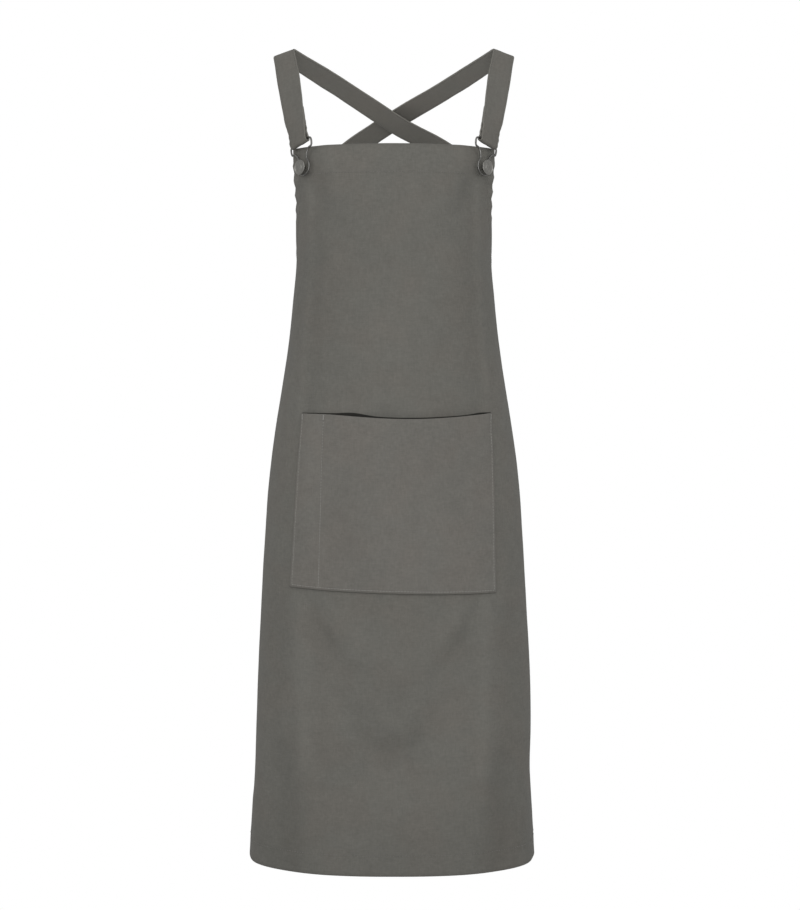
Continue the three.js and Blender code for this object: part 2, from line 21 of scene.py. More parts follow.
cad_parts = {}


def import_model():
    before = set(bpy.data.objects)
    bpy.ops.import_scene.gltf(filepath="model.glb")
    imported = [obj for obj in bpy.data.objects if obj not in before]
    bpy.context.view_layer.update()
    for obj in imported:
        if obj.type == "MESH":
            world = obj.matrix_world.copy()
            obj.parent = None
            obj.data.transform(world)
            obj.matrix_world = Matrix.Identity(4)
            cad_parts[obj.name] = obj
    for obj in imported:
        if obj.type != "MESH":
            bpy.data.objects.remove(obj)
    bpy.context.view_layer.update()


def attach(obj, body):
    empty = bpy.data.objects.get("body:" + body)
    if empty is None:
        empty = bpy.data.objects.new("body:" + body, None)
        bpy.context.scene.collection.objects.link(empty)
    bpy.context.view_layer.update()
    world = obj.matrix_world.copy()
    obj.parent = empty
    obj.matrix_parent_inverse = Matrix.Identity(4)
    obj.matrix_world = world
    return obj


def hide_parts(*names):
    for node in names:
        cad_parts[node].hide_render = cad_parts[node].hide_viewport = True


log = logging.getLogger("cross_back_apron")

MM = 0.001
SEAM_GAP = 0.3


class Side(Enum):
    """The two sides of the apron, by the sign of X."""

    LEFT = -1
    RIGHT = 1

    @property
    def word(self) -> str:
        """The side's name, as the solids' names end with it."""
        return self.name.lower()


def mix(low: float, high: float, share: float) -> float:
    """A value part of the way from low to high."""
    return low + (high - low) * share


def spaced(low: float, high: float, count: int) -> list[float]:
    """Values spread evenly from one to another, both included."""
    return [mix(low, high, step / count) for step in range(count + 1)]


def smoothstep(value: float, low: float, high: float) -> float:
    """A smooth rise from 0 at low to 1 at high."""
    share = min(max((value - low) / (high - low), 0.0), 1.0)
    return share * share * (3.0 - 2.0 * share)


# The worn form


@dataclass(frozen=True)
class FormRow:
    """One section of the form, down being a share of the apron's length."""

    down: float
    chest: float
    skirt: float
    front: float
    back: float
    square: float


@dataclass(frozen=True)
class Fold:
    """A soft ridge or hollow along a line over the cloth.

    around, to_around and spread are millimetres of cloth, as down, to_down and lift are.
    """

    sides: tuple[int, ...]
    around: float
    down: float
    to_around: float
    to_down: float
    spread: float
    lift: float


BOTH = (-1, 1)


@dataclass
class WornForm:
    """The shape that the cloth lies round, and the cut of the panel that lies on it."""

    length: float = 872.0
    bib_drop: float = 120.5
    corner_sag: float = 3.0
    sag_depth: float = 24.0
    bib_flat_width: float = 277.0
    corner_flat_width: float = 500.0
    hem_flat_width: float = 700.0
    corner_down: float = 160.0
    armhole_bend: float = 3.2
    chest_width: float = 277.0
    waist_width: float = 242.0
    hem_width: float = 358.0
    front_reach: float = 130.0
    back_reach: float = 125.0
    rows: tuple[FormRow, ...] = (
        FormRow(0.00, 0.72, 0.00, 0.77, 0.98, 2.30),
        FormRow(0.03, 0.78, 0.00, 0.85, 0.97, 2.30),
        FormRow(0.09, 0.22, 0.00, 0.92, 0.90, 2.35),
        FormRow(0.15, -0.05, 0.00, 0.93, 0.80, 2.40),
        FormRow(0.21, 0.00, 0.05, 0.92, 0.74, 2.45),
        FormRow(0.27, 0.00, 0.15, 0.92, 0.77, 2.50),
        FormRow(0.33, 0.00, 0.285, 0.93, 0.84, 2.55),
        FormRow(0.44, 0.00, 0.54, 0.96, 0.95, 2.60),
        FormRow(0.55, 0.00, 0.69, 0.98, 0.98, 2.55),
        FormRow(0.70, 0.00, 0.82, 0.985, 0.99, 2.50),
        FormRow(0.87, 0.00, 0.912, 0.99, 1.00, 2.48),
        FormRow(1.00, 0.00, 1.02, 1.00, 1.00, 2.44),
    )
    fold_shares: tuple[tuple, ...] = (
        (BOTH, 0.36, 0.66, 0.33, 0.86, 0.16, 0.016),
        (BOTH, 0.22, 0.66, 0.04, 0.80, 0.14, 0.018),
        (BOTH, 0.14, 0.78, 0.00, 0.86, 0.15, -0.016),
        (BOTH, 0.50, 0.72, 0.54, 1.00, 0.20, 0.020),
        (BOTH, 0.68, 0.55, 0.74, 1.00, 0.20, -0.020),
        (BOTH, 0.90, 0.45, 0.93, 1.00, 0.16, 0.022),
        (BOTH, 0.40, 0.20, 0.42, 0.32, 0.10, 0.010),
        (BOTH, 0.30, 0.05, 0.12, 0.16, 0.12, -0.012),
        ((-1,), 0.75, 0.93, 0.75, 1.01, 0.20, 0.030),
        ((1,), 0.60, 0.90, 0.60, 1.01, 0.32, -0.040),
    )
    creases: tuple[Fold, ...] = (
        Fold(BOTH, 111, 56, 121, 318, 6.0, 1.3),
        Fold(BOTH, 94, 40, 101, 318, 13.0, -0.6),
        Fold(BOTH, 92, 44, 84, 70, 16.0, -0.6),
        Fold(BOTH, 82, 8, 80, 22, 10.0, 1.0),
        Fold(BOTH, 0, 230, 0, 330, 46.0, 0.4),
        Fold(BOTH, 113, 548, 110, 745, 11.0, 1.7),
        Fold(BOTH, 101, 546, 76, 590, 8.0, -1.2),
        Fold(BOTH, 76, 590, 48, 624, 10.0, -0.9),
        Fold(BOTH, 48, 624, 6, 652, 14.0, -0.4),
        Fold(BOTH, 84, 556, 48, 590, 9.0, 0.6),
        Fold(BOTH, 60, 650, 66, 700, 20.0, 0.5),
        Fold(BOTH, 30, 706, 0, 714, 13.0, -0.6),
        Fold(BOTH, 62, 770, 20, 760, 20.0, 0.5),
        Fold(BOTH, 134, 740, 130, 850, 21.0, -1.6),
        Fold(BOTH, 150, 560, 152, 720, 16.0, -0.6),
        Fold((-1,), 84, 738, 74, 770, 14.0, -0.6),
    )
    _outlines: dict = field(default_factory=dict)
    _segments: list = field(default_factory=list)

    def __post_init__(self) -> None:
        """Works out the folds' lines once."""
        half = self.hem_flat_width / 2
        folds = [
            Fold(sides, around * half, down * self.length, to_around * half, to_down * self.length,
                 spread * self.front_reach, lift * self.front_reach)
            for sides, around, down, to_around, to_down, spread, lift in self.fold_shares
        ]
        for fold, fine in [(f, False) for f in folds] + [(f, True) for f in self.creases]:
            for side in fold.sides:
                ax, ay, bx, by = side * fold.around, fold.down, side * fold.to_around, fold.to_down
                run = math.hypot(bx - ax, by - ay)
                self._segments.append(
                    (ax, ay, (bx - ax) / run, (by - ay) / run, run, fold.spread, fold.lift, fine))

    def value(self, column: str, share: float) -> float:
        """Reads one column of the form's rows along a smooth curve."""
        rows = self.rows
        last = len(rows) - 1
        row = 0
        while row < last - 1 and share > rows[row + 1].down:
            row += 1
        here, after_here = rows[row], rows[row + 1]
        before, after = rows[max(row - 1, 0)], rows[min(row + 2, last)]
        at = [getattr(r, column) for r in (before, here, after_here, after)]
        slope_here = (at[2] - at[0]) / (after_here.down - before.down)
        slope_next = (at[3] - at[1]) / (after.down - here.down)
        gap = after_here.down - here.down
        t = (share - here.down) / gap
        t2, t3 = t * t, t * t * t
        return (at[1] * (2 * t3 - 3 * t2 + 1) + at[2] * (3 * t2 - 2 * t3)
                + gap * (slope_here * (t3 - 2 * t2 + t) + slope_next * (t3 - t2)))

    def outline(self, down: float) -> tuple[np.ndarray, np.ndarray, np.ndarray]:
        """Half of the outline at one height, with the length of cloth that reaches each point."""
        key = round(down, 3)
        if key not in self._outlines:
            share = down / self.length
            half = (self.waist_width / 2
                    + self.value("chest", share) * (self.chest_width - self.waist_width) / 2
                    + self.value("skirt", share) * (self.hem_width - self.waist_width) / 2)
            front = self.front_reach * self.value("front", share)
            back = self.back_reach * self.value("back", share)
            power = 2 / self.value("square", share)
            angle = np.linspace(0.0, math.pi, 241)
            x = half * np.abs(np.sin(angle)) ** power
            reach = np.where(np.cos(angle) > 0, -front, back)
            y = reach * np.abs(np.cos(angle)) ** power
            length = np.concatenate([[0.0], np.cumsum(np.hypot(np.diff(x), np.diff(y)))])
            self._outlines[key] = (x, y, length)
        return self._outlines[key]

    def base(self, around: float, down: float) -> Vector:
        """A point on the bare form."""
        x, y, length = self.outline(down)
        reach = abs(around)
        return Vector((math.copysign(float(np.interp(reach, length, x)), around),
                       float(np.interp(reach, length, y)), -self.bib_drop - down))

    def normal(self, around: float, down: float) -> Vector:
        """The way out of the form at a point."""
        across = self.base(around + 2, down) - self.base(around - 2, down)
        upright = self.base(around, down - 2) - self.base(around, down + 2)
        return across.cross(upright).normalized()

    def fold_lift(self, around: float, down: float, fine: bool = True) -> float:
        """How far the cloth stands off the form in its folds.

        Args:
            around: length of cloth from the front's middle.
            down: length below the bib's top edge.
            fine: whether the narrow creases count too.

        Returns:
            The lift, in millimetres.
        """
        lift = 0.0
        for ax, ay, ux, uy, run, spread, height, is_fine in self._segments:
            if is_fine and not fine:
                continue
            dx, dy = around - ax, down - ay
            along = dx * ux + dy * uy
            past = along - min(max(along, 0.0), run)
            off = dx * uy - dy * ux
            far = (off * off + past * past / 2) / (spread * spread)
            if far < 9:
                lift += height * math.exp(-far)
        return lift

    def half(self, down: float) -> float:
        """Half of the panel's flat width at one height."""
        bib, corner = self.bib_flat_width / 2, self.corner_flat_width / 2
        down = max(down, 0.0)
        if down <= self.corner_down:
            return bib + (corner - bib) * (down / self.corner_down) ** self.armhole_bend
        share = min((down - self.corner_down) / (self.length - self.corner_down), 1.0)
        return corner + (self.hem_flat_width / 2 - corner) * math.sin(share * math.pi / 2)

    def cloth(self, around: float, down: float, lift: float = 0.0, fine: bool = True) -> Vector:
        """A point on the panel's outer face, or lifted off it."""
        sag = self.corner_sag * (around / (self.bib_flat_width / 2)) ** 2 * math.exp(-down / self.sag_depth)
        point = self.base(around, down)
        point += self.normal(around, down) * (self.fold_lift(around, down, fine) + lift)
        point.z -= sag
        return point


class SmoothCurve:
    """A centripetal curve through points, open or closed, read by a share of its points."""

    def __init__(self, points: Sequence[Vector], closed: bool = False) -> None:
        """Keeps the points."""
        self.points = [Vector(p) for p in points]
        self.closed = closed

    def at(self, share: float) -> Vector:
        """The point at a share of the way."""
        pts, count = self.points, len(self.points)
        place = share * (count if self.closed else count - 1)
        index = math.floor(place)
        weight = place - index
        if self.closed:
            index %= count
        elif index >= count - 1:
            index, weight = count - 2, 1.0
        p1, p2 = pts[index % count], pts[(index + 1) % count]
        p0 = pts[(index - 1) % count] if self.closed or index > 0 else pts[0] * 2 - pts[1]
        inside = self.closed or index + 2 < count
        p3 = pts[(index + 2) % count] if inside else pts[-1] * 2 - pts[-2]
        d0, d1, d2 = ((b - a).length_squared ** 0.25 for a, b in ((p0, p1), (p1, p2), (p2, p3)))
        d1 = d1 if d1 > 1e-4 else 1.0
        d0 = d0 if d0 > 1e-4 else d1
        d2 = d2 if d2 > 1e-4 else d1
        t1 = ((p1 - p0) / d0 - (p2 - p0) / (d0 + d1) + (p2 - p1) / d1) * d1
        t2 = ((p2 - p1) / d1 - (p3 - p1) / (d1 + d2) + (p3 - p2) / d2) * d1
        w2, w3 = weight * weight, weight ** 3
        return p1 + t1 * weight + (p1 * -3 + p2 * 3 - t1 * 2 - t2) * w2 + (p1 * 2 - p2 * 2 + t1 + t2) * w3


# Shader maths


class Num:
    """A shader value that takes part in Python arithmetic, adding Math nodes as it goes."""

    def __init__(self, tree: "ShaderTree", socket: bpy.types.NodeSocket) -> None:
        """Wraps one output socket."""
        self.tree = tree
        self.socket = socket

    def _with(self, operation: str, *others: "Num | float", swapped: bool = False) -> "Num":
        """One Math node on this value and others."""
        values = [self, *others]
        return self.tree.maths(operation, *(reversed(values) if swapped else values))

    def __add__(self, other: "Num | float") -> "Num":
        """Sum."""
        return self._with("ADD", other)

    __radd__ = __add__

    def __mul__(self, other: "Num | float") -> "Num":
        """Product."""
        return self._with("MULTIPLY", other)

    __rmul__ = __mul__

    def __sub__(self, other: "Num | float") -> "Num":
        """Difference."""
        return self._with("SUBTRACT", other)

    def __rsub__(self, other: "Num | float") -> "Num":
        """Difference, the other way round."""
        return self._with("SUBTRACT", other, swapped=True)

    def __truediv__(self, other: "Num | float") -> "Num":
        """Quotient."""
        return self._with("DIVIDE", other)

    def __rtruediv__(self, other: "Num | float") -> "Num":
        """Quotient, the other way round."""
        return self._with("DIVIDE", other, swapped=True)

    def __pow__(self, other: "Num | float") -> "Num":
        """Power."""
        return self._with("POWER", other)

    def __neg__(self) -> "Num":
        """Minus the value."""
        return self._with("MULTIPLY", -1.0)

    def sine(self) -> "Num":
        """Sine of the value."""
        return self._with("SINE")

    def size(self) -> "Num":
        """Absolute value."""
        return self._with("ABSOLUTE")

    def kept(self, low: float = 0.0, high: float = 1.0) -> "Num":
        """The value, kept between two limits."""
        return self._with("MAXIMUM", low)._with("MINIMUM", high)

    def over(self, low: "Num | float", high: "Num | float") -> "Num":
        """A rise from 0 at low to 1 at high."""
        return ((self - low) / (high - low)).kept()

    def bell(self, middle: float, spread: float) -> "Num":
        """A smooth hump of height 1 round a middle."""
        off = (self - middle) / spread
        return (off * off * -1.0)._with("EXPONENT")

    def within(self, low: "Num | float", high: "Num | float", soft: float) -> "Num":
        """1 between two limits, with soft ends outside them."""
        return self.over(low - soft, low) * (1.0 - self.over(high, high + soft))


class ShaderTree:
    """A material's node tree, written as expressions."""

    def __init__(self, name: str) -> None:
        """Starts an empty material."""
        self.material = bpy.data.materials.new(name)
        self.material.use_nodes = True
        self.nodes = self.material.node_tree.nodes
        self.links = self.material.node_tree.links
        self.nodes.clear()

    def node(self, kind: str, settings: dict | None = None, **inputs: object) -> bpy.types.Node:
        """Adds a node.

        Args:
            kind: the node's type.
            settings: its properties, which are set first; stops holds a ramp's stops.
            inputs: its sockets' values or links, by name with _ for a space, or in0, in1 by place.

        Returns:
            The node.
        """
        node = self.nodes.new(kind)
        for key, value in (settings or {}).items():
            if key == "stops":
                ramp = node.color_ramp.elements
                while len(ramp) < len(value):
                    ramp.new(0.5)
                for element, (place, colour) in zip(ramp, value):
                    element.position = place
                    element.color = (*colour, 1.0)
            else:
                setattr(node, key, value)
        for key, value in inputs.items():
            place = int(key[2:]) if key[:2] == "in" and key[2:].isdigit() else key.replace("_", " ")
            self.feed(node.inputs[place], value)
        return node

    def feed(self, socket: bpy.types.NodeSocket, value: object) -> None:
        """Links or sets one socket."""
        if isinstance(value, Num):
            value = value.socket
        if isinstance(value, bpy.types.NodeSocket):
            self.links.new(value, socket)
        else:
            socket.default_value = value

    def maths(self, operation: str, *values: Num | float) -> Num:
        """One Math node."""
        sockets = {f"in{place}": value for place, value in enumerate(values)}
        return Num(self, self.node("ShaderNodeMath", {"operation": operation}, **sockets).outputs[0])

    def noise(self, vector: bpy.types.NodeSocket, scale: float, detail: float = 2.0,
              roughness: float = 0.55) -> Num:
        """Smooth noise from 0 to 1 at a vector."""
        node = self.node("ShaderNodeTexNoise", {"noise_dimensions": "3D"}, Vector=vector, Scale=scale,
                         Detail=detail, Roughness=roughness)
        return Num(self, node.outputs["Fac"])

    def stretched(self, vector: bpy.types.NodeSocket, by: tuple[float, float, float]) -> bpy.types.NodeSocket:
        """The vector, stretched along each axis."""
        return self.node("ShaderNodeVectorMath", {"operation": "MULTIPLY"}, in0=vector, in1=by).outputs[0]

    def blend(self, share: Num | float, first: object, second: object) -> bpy.types.NodeSocket:
        """A colour between two others."""
        node = self.node("ShaderNodeMix", {"data_type": "RGBA"})
        self.feed(node.inputs[0], share)
        self.feed(node.inputs[6], first)
        self.feed(node.inputs[7], second)
        return node.outputs[2]

    def bump(self, height: Num, distance: float, strength: float = 1.0,
             normal: bpy.types.NodeSocket | None = None) -> bpy.types.NodeSocket:
        """A normal bent by a height."""
        node = self.node("ShaderNodeBump", None, Height=height, Distance=distance, Strength=strength)
        if normal:
            self.feed(node.inputs["Normal"], normal)
        return node.outputs["Normal"]

    def finish(self, constants: dict[str, object], **varying: object) -> bpy.types.Material:
        """Ends the tree in one Principled shader.

        Args:
            constants: sockets with one value all over the surface, by their own names.
            varying: sockets fed by the pattern, with _ for a space.

        Returns:
            The material.
        """
        shader = self.node("ShaderNodeBsdfPrincipled")
        for key, value in constants.items():
            shader.inputs[key].default_value = value
        for key, value in varying.items():
            self.feed(shader.inputs[key.replace("_", " ")], value)
        self.node("ShaderNodeOutputMaterial", None, Surface=shader.outputs[0])
        return self.material


Colour = tuple[float, float, float]


def rgba(colour: Colour, gain: float = 1.0) -> tuple[float, float, float, float]:
    """A colour with full alpha, lightened or darkened by gain."""
    return (*(c * gain for c in colour), 1.0)


@dataclass(frozen=True)
class CanvasFinish:
    """Woven cotton canvas, read from the cloth's own map in metres."""

    name: str
    colour: Colour
    thread: float = 0.00085
    roughness: float = 0.92
    # How far a positive tone pales the colour: painted light, and wear on the straps' edges.
    light_and_wear_paling: float = 0.55

    def build(self, shadow: Callable[[ShaderTree, Num, Num], Num] | None = None) -> bpy.types.Material:
        """Makes the material: weave, slubs, mottling, worn edges, painted paler ridges and darker hollows.

        Args:
            shadow: works out a share of shadow, from 0 to 1, from the map's two values. It falls on the
                faces that look to the front alone.

        Returns:
            The material.
        """
        tree = ShaderTree(self.name)
        flat = tree.node("ShaderNodeUVMap", {"uv_map": "cloth"}).outputs[0]
        split = tree.node("ShaderNodeSeparateXYZ", None, in0=flat)
        across, along = Num(tree, split.outputs[0]), Num(tree, split.outputs[1])
        turn = math.pi / self.thread
        weft = (across * turn).sine()
        warp = (along * turn).sine()
        weave = weft * warp * 0.35 + (weft.size() + warp.size()) * 0.33
        thick = tree.noise(tree.stretched(flat, (70.0, 1300.0, 1.0)), 1.0, 2.0, 0.6)
        tall = tree.noise(tree.stretched(flat, (1300.0, 70.0, 1.0)), 1.0, 2.0, 0.6)
        slubs = (thick + tall) * 0.5
        mottling = tree.noise(flat, 240.0, 3.0, 0.65)
        blotches = tree.noise(flat, 62.0, 3.0, 0.6)
        broad = tree.noise(flat, 8.0, 2.0, 0.5)
        # The tone attribute carries wear, and painted light and shade.
        tone = Num(tree, tree.node("ShaderNodeAttribute", {"attribute_name": "tone"}).outputs["Fac"])
        share = (0.5 + (slubs - 0.5) * 1.5 + (mottling - 0.5) * 1.0 + (blotches - 0.5) * 0.7
                 + (broad - 0.5) * 0.5 + (weave - 0.45) * 0.22).kept()
        colour = tree.blend(share, rgba(self.colour, 0.84), rgba(self.colour, 1.16))
        # Painted light and wear: a positive tone pales the colour.
        colour = tree.blend((tone * self.light_and_wear_paling).kept(), colour, rgba(self.colour, 1.9))
        # Painted shade: a negative tone darkens the colour.
        colour = tree.blend((tone * -0.9).kept(), colour, rgba(self.colour, 0.1))
        if shadow:
            normal = tree.node("ShaderNodeTexCoord").outputs["Normal"]
            outside = Num(tree, tree.node("ShaderNodeSeparateXYZ", None, in0=normal).outputs[1]) * -4.0
            colour = tree.blend(shadow(tree, across, along) * outside.kept(), colour, rgba(self.colour, 0.1))
        warmth = tree.noise(flat, 17.0, 2.0, 0.5).over(0.42, 0.62)
        colour = tree.node("ShaderNodeMix", {"data_type": "RGBA", "blend_type": "MULTIPLY"},
                           in0=warmth * 0.5, in6=colour, in7=(1.03, 0.985, 0.97, 1.0)).outputs[2]
        height = weave * 0.6 + slubs * 0.9 + mottling * 0.8
        return tree.finish(
            {"Metallic": 0.0, "Sheen Weight": 0.04, "Sheen Roughness": 0.5, "Specular IOR Level": 0.12},
            Base_Color=colour, Roughness=(self.roughness - (slubs - 0.5) * 0.12).kept(),
            Normal=tree.bump(height, 0.00035, 0.55))


@dataclass(frozen=True)
class ThreadFinish:
    """Spun sewing thread."""

    name: str
    colour: Colour

    def build(self) -> bpy.types.Material:
        """Makes the material: fine ply and a little mottling."""
        tree = ShaderTree(self.name)
        place = tree.node("ShaderNodeTexCoord").outputs["Object"]
        ply = tree.noise(place, 2600.0, 2.0)
        tone = tree.noise(place, 160.0, 2.0)
        colour = tree.blend((ply * 0.6 + tone * 0.4).kept(), rgba(self.colour, 0.8), rgba(self.colour, 1.2))
        return tree.finish({"Metallic": 0.0, "Sheen Weight": 0.2, "Specular IOR Level": 0.25},
                           Base_Color=colour, Roughness=(0.75 + ply * 0.15).kept(),
                           Normal=tree.bump(ply, 0.0002, 0.4))


@dataclass(frozen=True)
class PlatedMetal:
    """Dark plated steel, a little worn to a paler metal in cloudy spots."""

    name: str
    colour: Colour
    worn_colour: Colour
    roughness: float

    def build(self) -> bpy.types.Material:
        """Makes the material: cloudy plating, fine scratches and worn spots."""
        tree = ShaderTree(self.name)
        place = tree.node("ShaderNodeTexCoord").outputs["Object"]
        cloud = tree.noise(place, 420.0, 3.0)
        grain = tree.noise(place, 3800.0, 2.0)
        scratch = tree.noise(tree.stretched(place, (5200.0, 600.0, 900.0)), 1.0, 1.0)
        worn = tree.maths("MULTIPLY", cloud.over(0.52, 0.72), grain.over(0.35, 0.7))
        colour = tree.blend(worn * 0.8, rgba(self.colour), rgba(self.worn_colour))
        rough = (self.roughness + (grain - 0.5) * 0.22 + scratch.over(0.55, 0.8) * 0.12).kept(0.12, 0.9)
        return tree.finish({"Metallic": 1.0}, Base_Color=colour, Roughness=rough,
                           Normal=tree.bump(grain * 0.5 + scratch * 0.5, 0.0001, 0.35))


@dataclass(frozen=True)
class StudioPaper:
    """The pale paper under the apron."""

    name: str = "studio_paper"

    def build(self) -> bpy.types.Material:
        """Makes the material."""
        tree = ShaderTree(self.name)
        return tree.finish({"Base Color": (0.7, 0.7, 0.7, 1.0), "Roughness": 0.9, "Specular IOR Level": 0.0})


# Meshes


def face_with(obj: bpy.types.Object, material: bpy.types.Material) -> None:
    """Gives an object its one material."""
    obj.data.materials.clear()
    obj.data.materials.append(material)


def to_object(mesh: bmesh.types.BMesh, name: str, material: bpy.types.Material,
              replaces: Sequence[str] = ()) -> bpy.types.Object:
    """Ends a bmesh in millimetres as a piece in metres that rides on the apron.

    Args:
        mesh: the finished shape.
        name: the piece's name.
        material: its finish.
        replaces: the solids that it stands for.

    Returns:
        The piece.
    """
    bmesh.ops.scale(mesh, vec=(MM, MM, MM), verts=mesh.verts)
    for item in mesh.faces:
        item.smooth = True
    data = bpy.data.meshes.new(name)
    mesh.to_mesh(data)
    mesh.free()
    obj = bpy.data.objects.new(name, data)
    bpy.context.collection.objects.link(obj)
    face_with(obj, material)
    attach(obj, "root")
    if replaces:
        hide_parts(*replaces)
    return obj


def cloth_grid(columns: int, rows: int,
               place: Callable[[int, int], tuple[Vector, tuple[float, float], float]]) -> bmesh.types.BMesh:
    """A grid of faces laid where a function puts each of its corners.

    Args:
        columns: faces across.
        rows: faces down.
        place: gives the point, the cloth's map and the tone for a column and a row.

    Returns:
        The shape, its faces' own map named cloth.
    """
    mesh = bmesh.new()
    # The tone: wear, and painted light and shade, read by the material.
    tones = mesh.verts.layers.float.new("tone")
    cloth_map = mesh.loops.layers.uv.new("cloth")
    bmesh.ops.create_grid(mesh, x_segments=columns, y_segments=rows, size=1.0)
    mesh.verts.index_update()
    flat: dict[int, tuple[float, float]] = {}
    for vert in mesh.verts:
        column = round((vert.co.x + 1) / 2 * columns)
        row = round((1 - vert.co.y) / 2 * rows)
        point, spot, tone = place(column, row)
        vert.co = point
        vert[tones] = tone
        flat[vert.index] = spot
    for item in mesh.faces:
        for loop in item.loops:
            u, v = flat[loop.vert.index]
            loop[cloth_map].uv = (u * MM, v * MM)
    mesh.normal_update()
    return mesh


@dataclass(frozen=True)
class FoldedEdge:
    """A hem folded under: a small roll, then a layer that lies beneath."""

    width: float
    drop: float = 2.4
    roll_steps: int = 4
    under_steps: int = 3

    @property
    def steps(self) -> int:
        """Faces that the fold adds past the edge."""
        return self.roll_steps + self.under_steps

    def at(self, step: int) -> tuple[float, float, float]:
        """Where one step of the fold lies.

        Args:
            step: 0 at the edge, then one more for each face past it.

        Returns:
            How far out it lies from the edge, how far it is dropped, and the length of cloth used.
        """
        radius = self.drop / 2
        if step <= self.roll_steps:
            angle = math.pi * step / self.roll_steps
            return radius * math.sin(angle), radius * (1 - math.cos(angle)), radius * angle
        inward = (self.width - radius) * (step - self.roll_steps) / self.under_steps
        return -inward, self.drop, radius * math.pi + inward


def thicken(obj: bpy.types.Object, thickness: float) -> None:
    """Gives a sheet its thickness, on the side away from its outer face."""
    wall = obj.modifiers.new("wall", "SOLIDIFY")
    wall.thickness = thickness * MM
    wall.offset = -1.0
    wall.use_even_offset = True
    wall.use_rim = True


@dataclass
class Stitching:
    """Rows of topstitches, each a small rounded bar of thread."""

    name: str
    length: float = 2.9
    pitch: float = 3.6
    thread: float = 0.62
    mesh: bmesh.types.BMesh = field(default_factory=bmesh.new)
    count: int = 0

    def stitch(self, row: bmesh.types.BMesh, start: Vector, end: Vector, out: Vector) -> None:
        """Adds one stitch to a row, between two points on a face that looks along out."""
        way = end - start
        run = way.length
        if run < 1e-6:
            return
        way.normalize()
        side = out.cross(way).normalized()
        up = way.cross(side)
        turn = Matrix((way, side, up)).transposed().to_4x4()
        shape = Matrix.Diagonal((run / 2, self.thread / 2, self.thread * 0.42, 1.0))
        lying = Matrix.Rotation(math.pi / 2, 4, "Y")
        bmesh.ops.create_uvsphere(row, u_segments=6, v_segments=4, radius=1.0,
                                  matrix=Matrix.Translation((start + end) / 2) @ turn @ shape @ lying)
        self.count += 1

    def along(self, point: Callable[[float], Vector], out: Callable[[float], Vector], low: float,
              high: float) -> None:
        """Stitches along a line.

        Args:
            point: the point on the cloth at a length along the line.
            out: the way out of the cloth there.
            low: where the line starts.
            high: where it ends.
        """
        number = max(int(abs(high - low) / self.pitch), 1)
        step = (high - low) / number
        half = step * self.length / self.pitch / 2
        row = bmesh.new()
        for index in range(number):
            middle = low + (index + 0.5) * step
            self.stitch(row, point(middle - half), point(middle + half), out(middle))
        self.take(row)

    def take(self, row: bmesh.types.BMesh) -> None:
        """Adds a finished row to the others."""
        part = bpy.data.meshes.new("row")
        row.to_mesh(part)
        row.free()
        self.mesh.from_mesh(part)
        bpy.data.meshes.remove(part)

    def finish(self, material: bpy.types.Material, slot: str) -> bpy.types.Object:
        """Ends the rows as one piece."""
        obj = to_object(self.mesh, self.name, material)
        log.info("%s: %d stitches", self.name, self.count)
        return obj


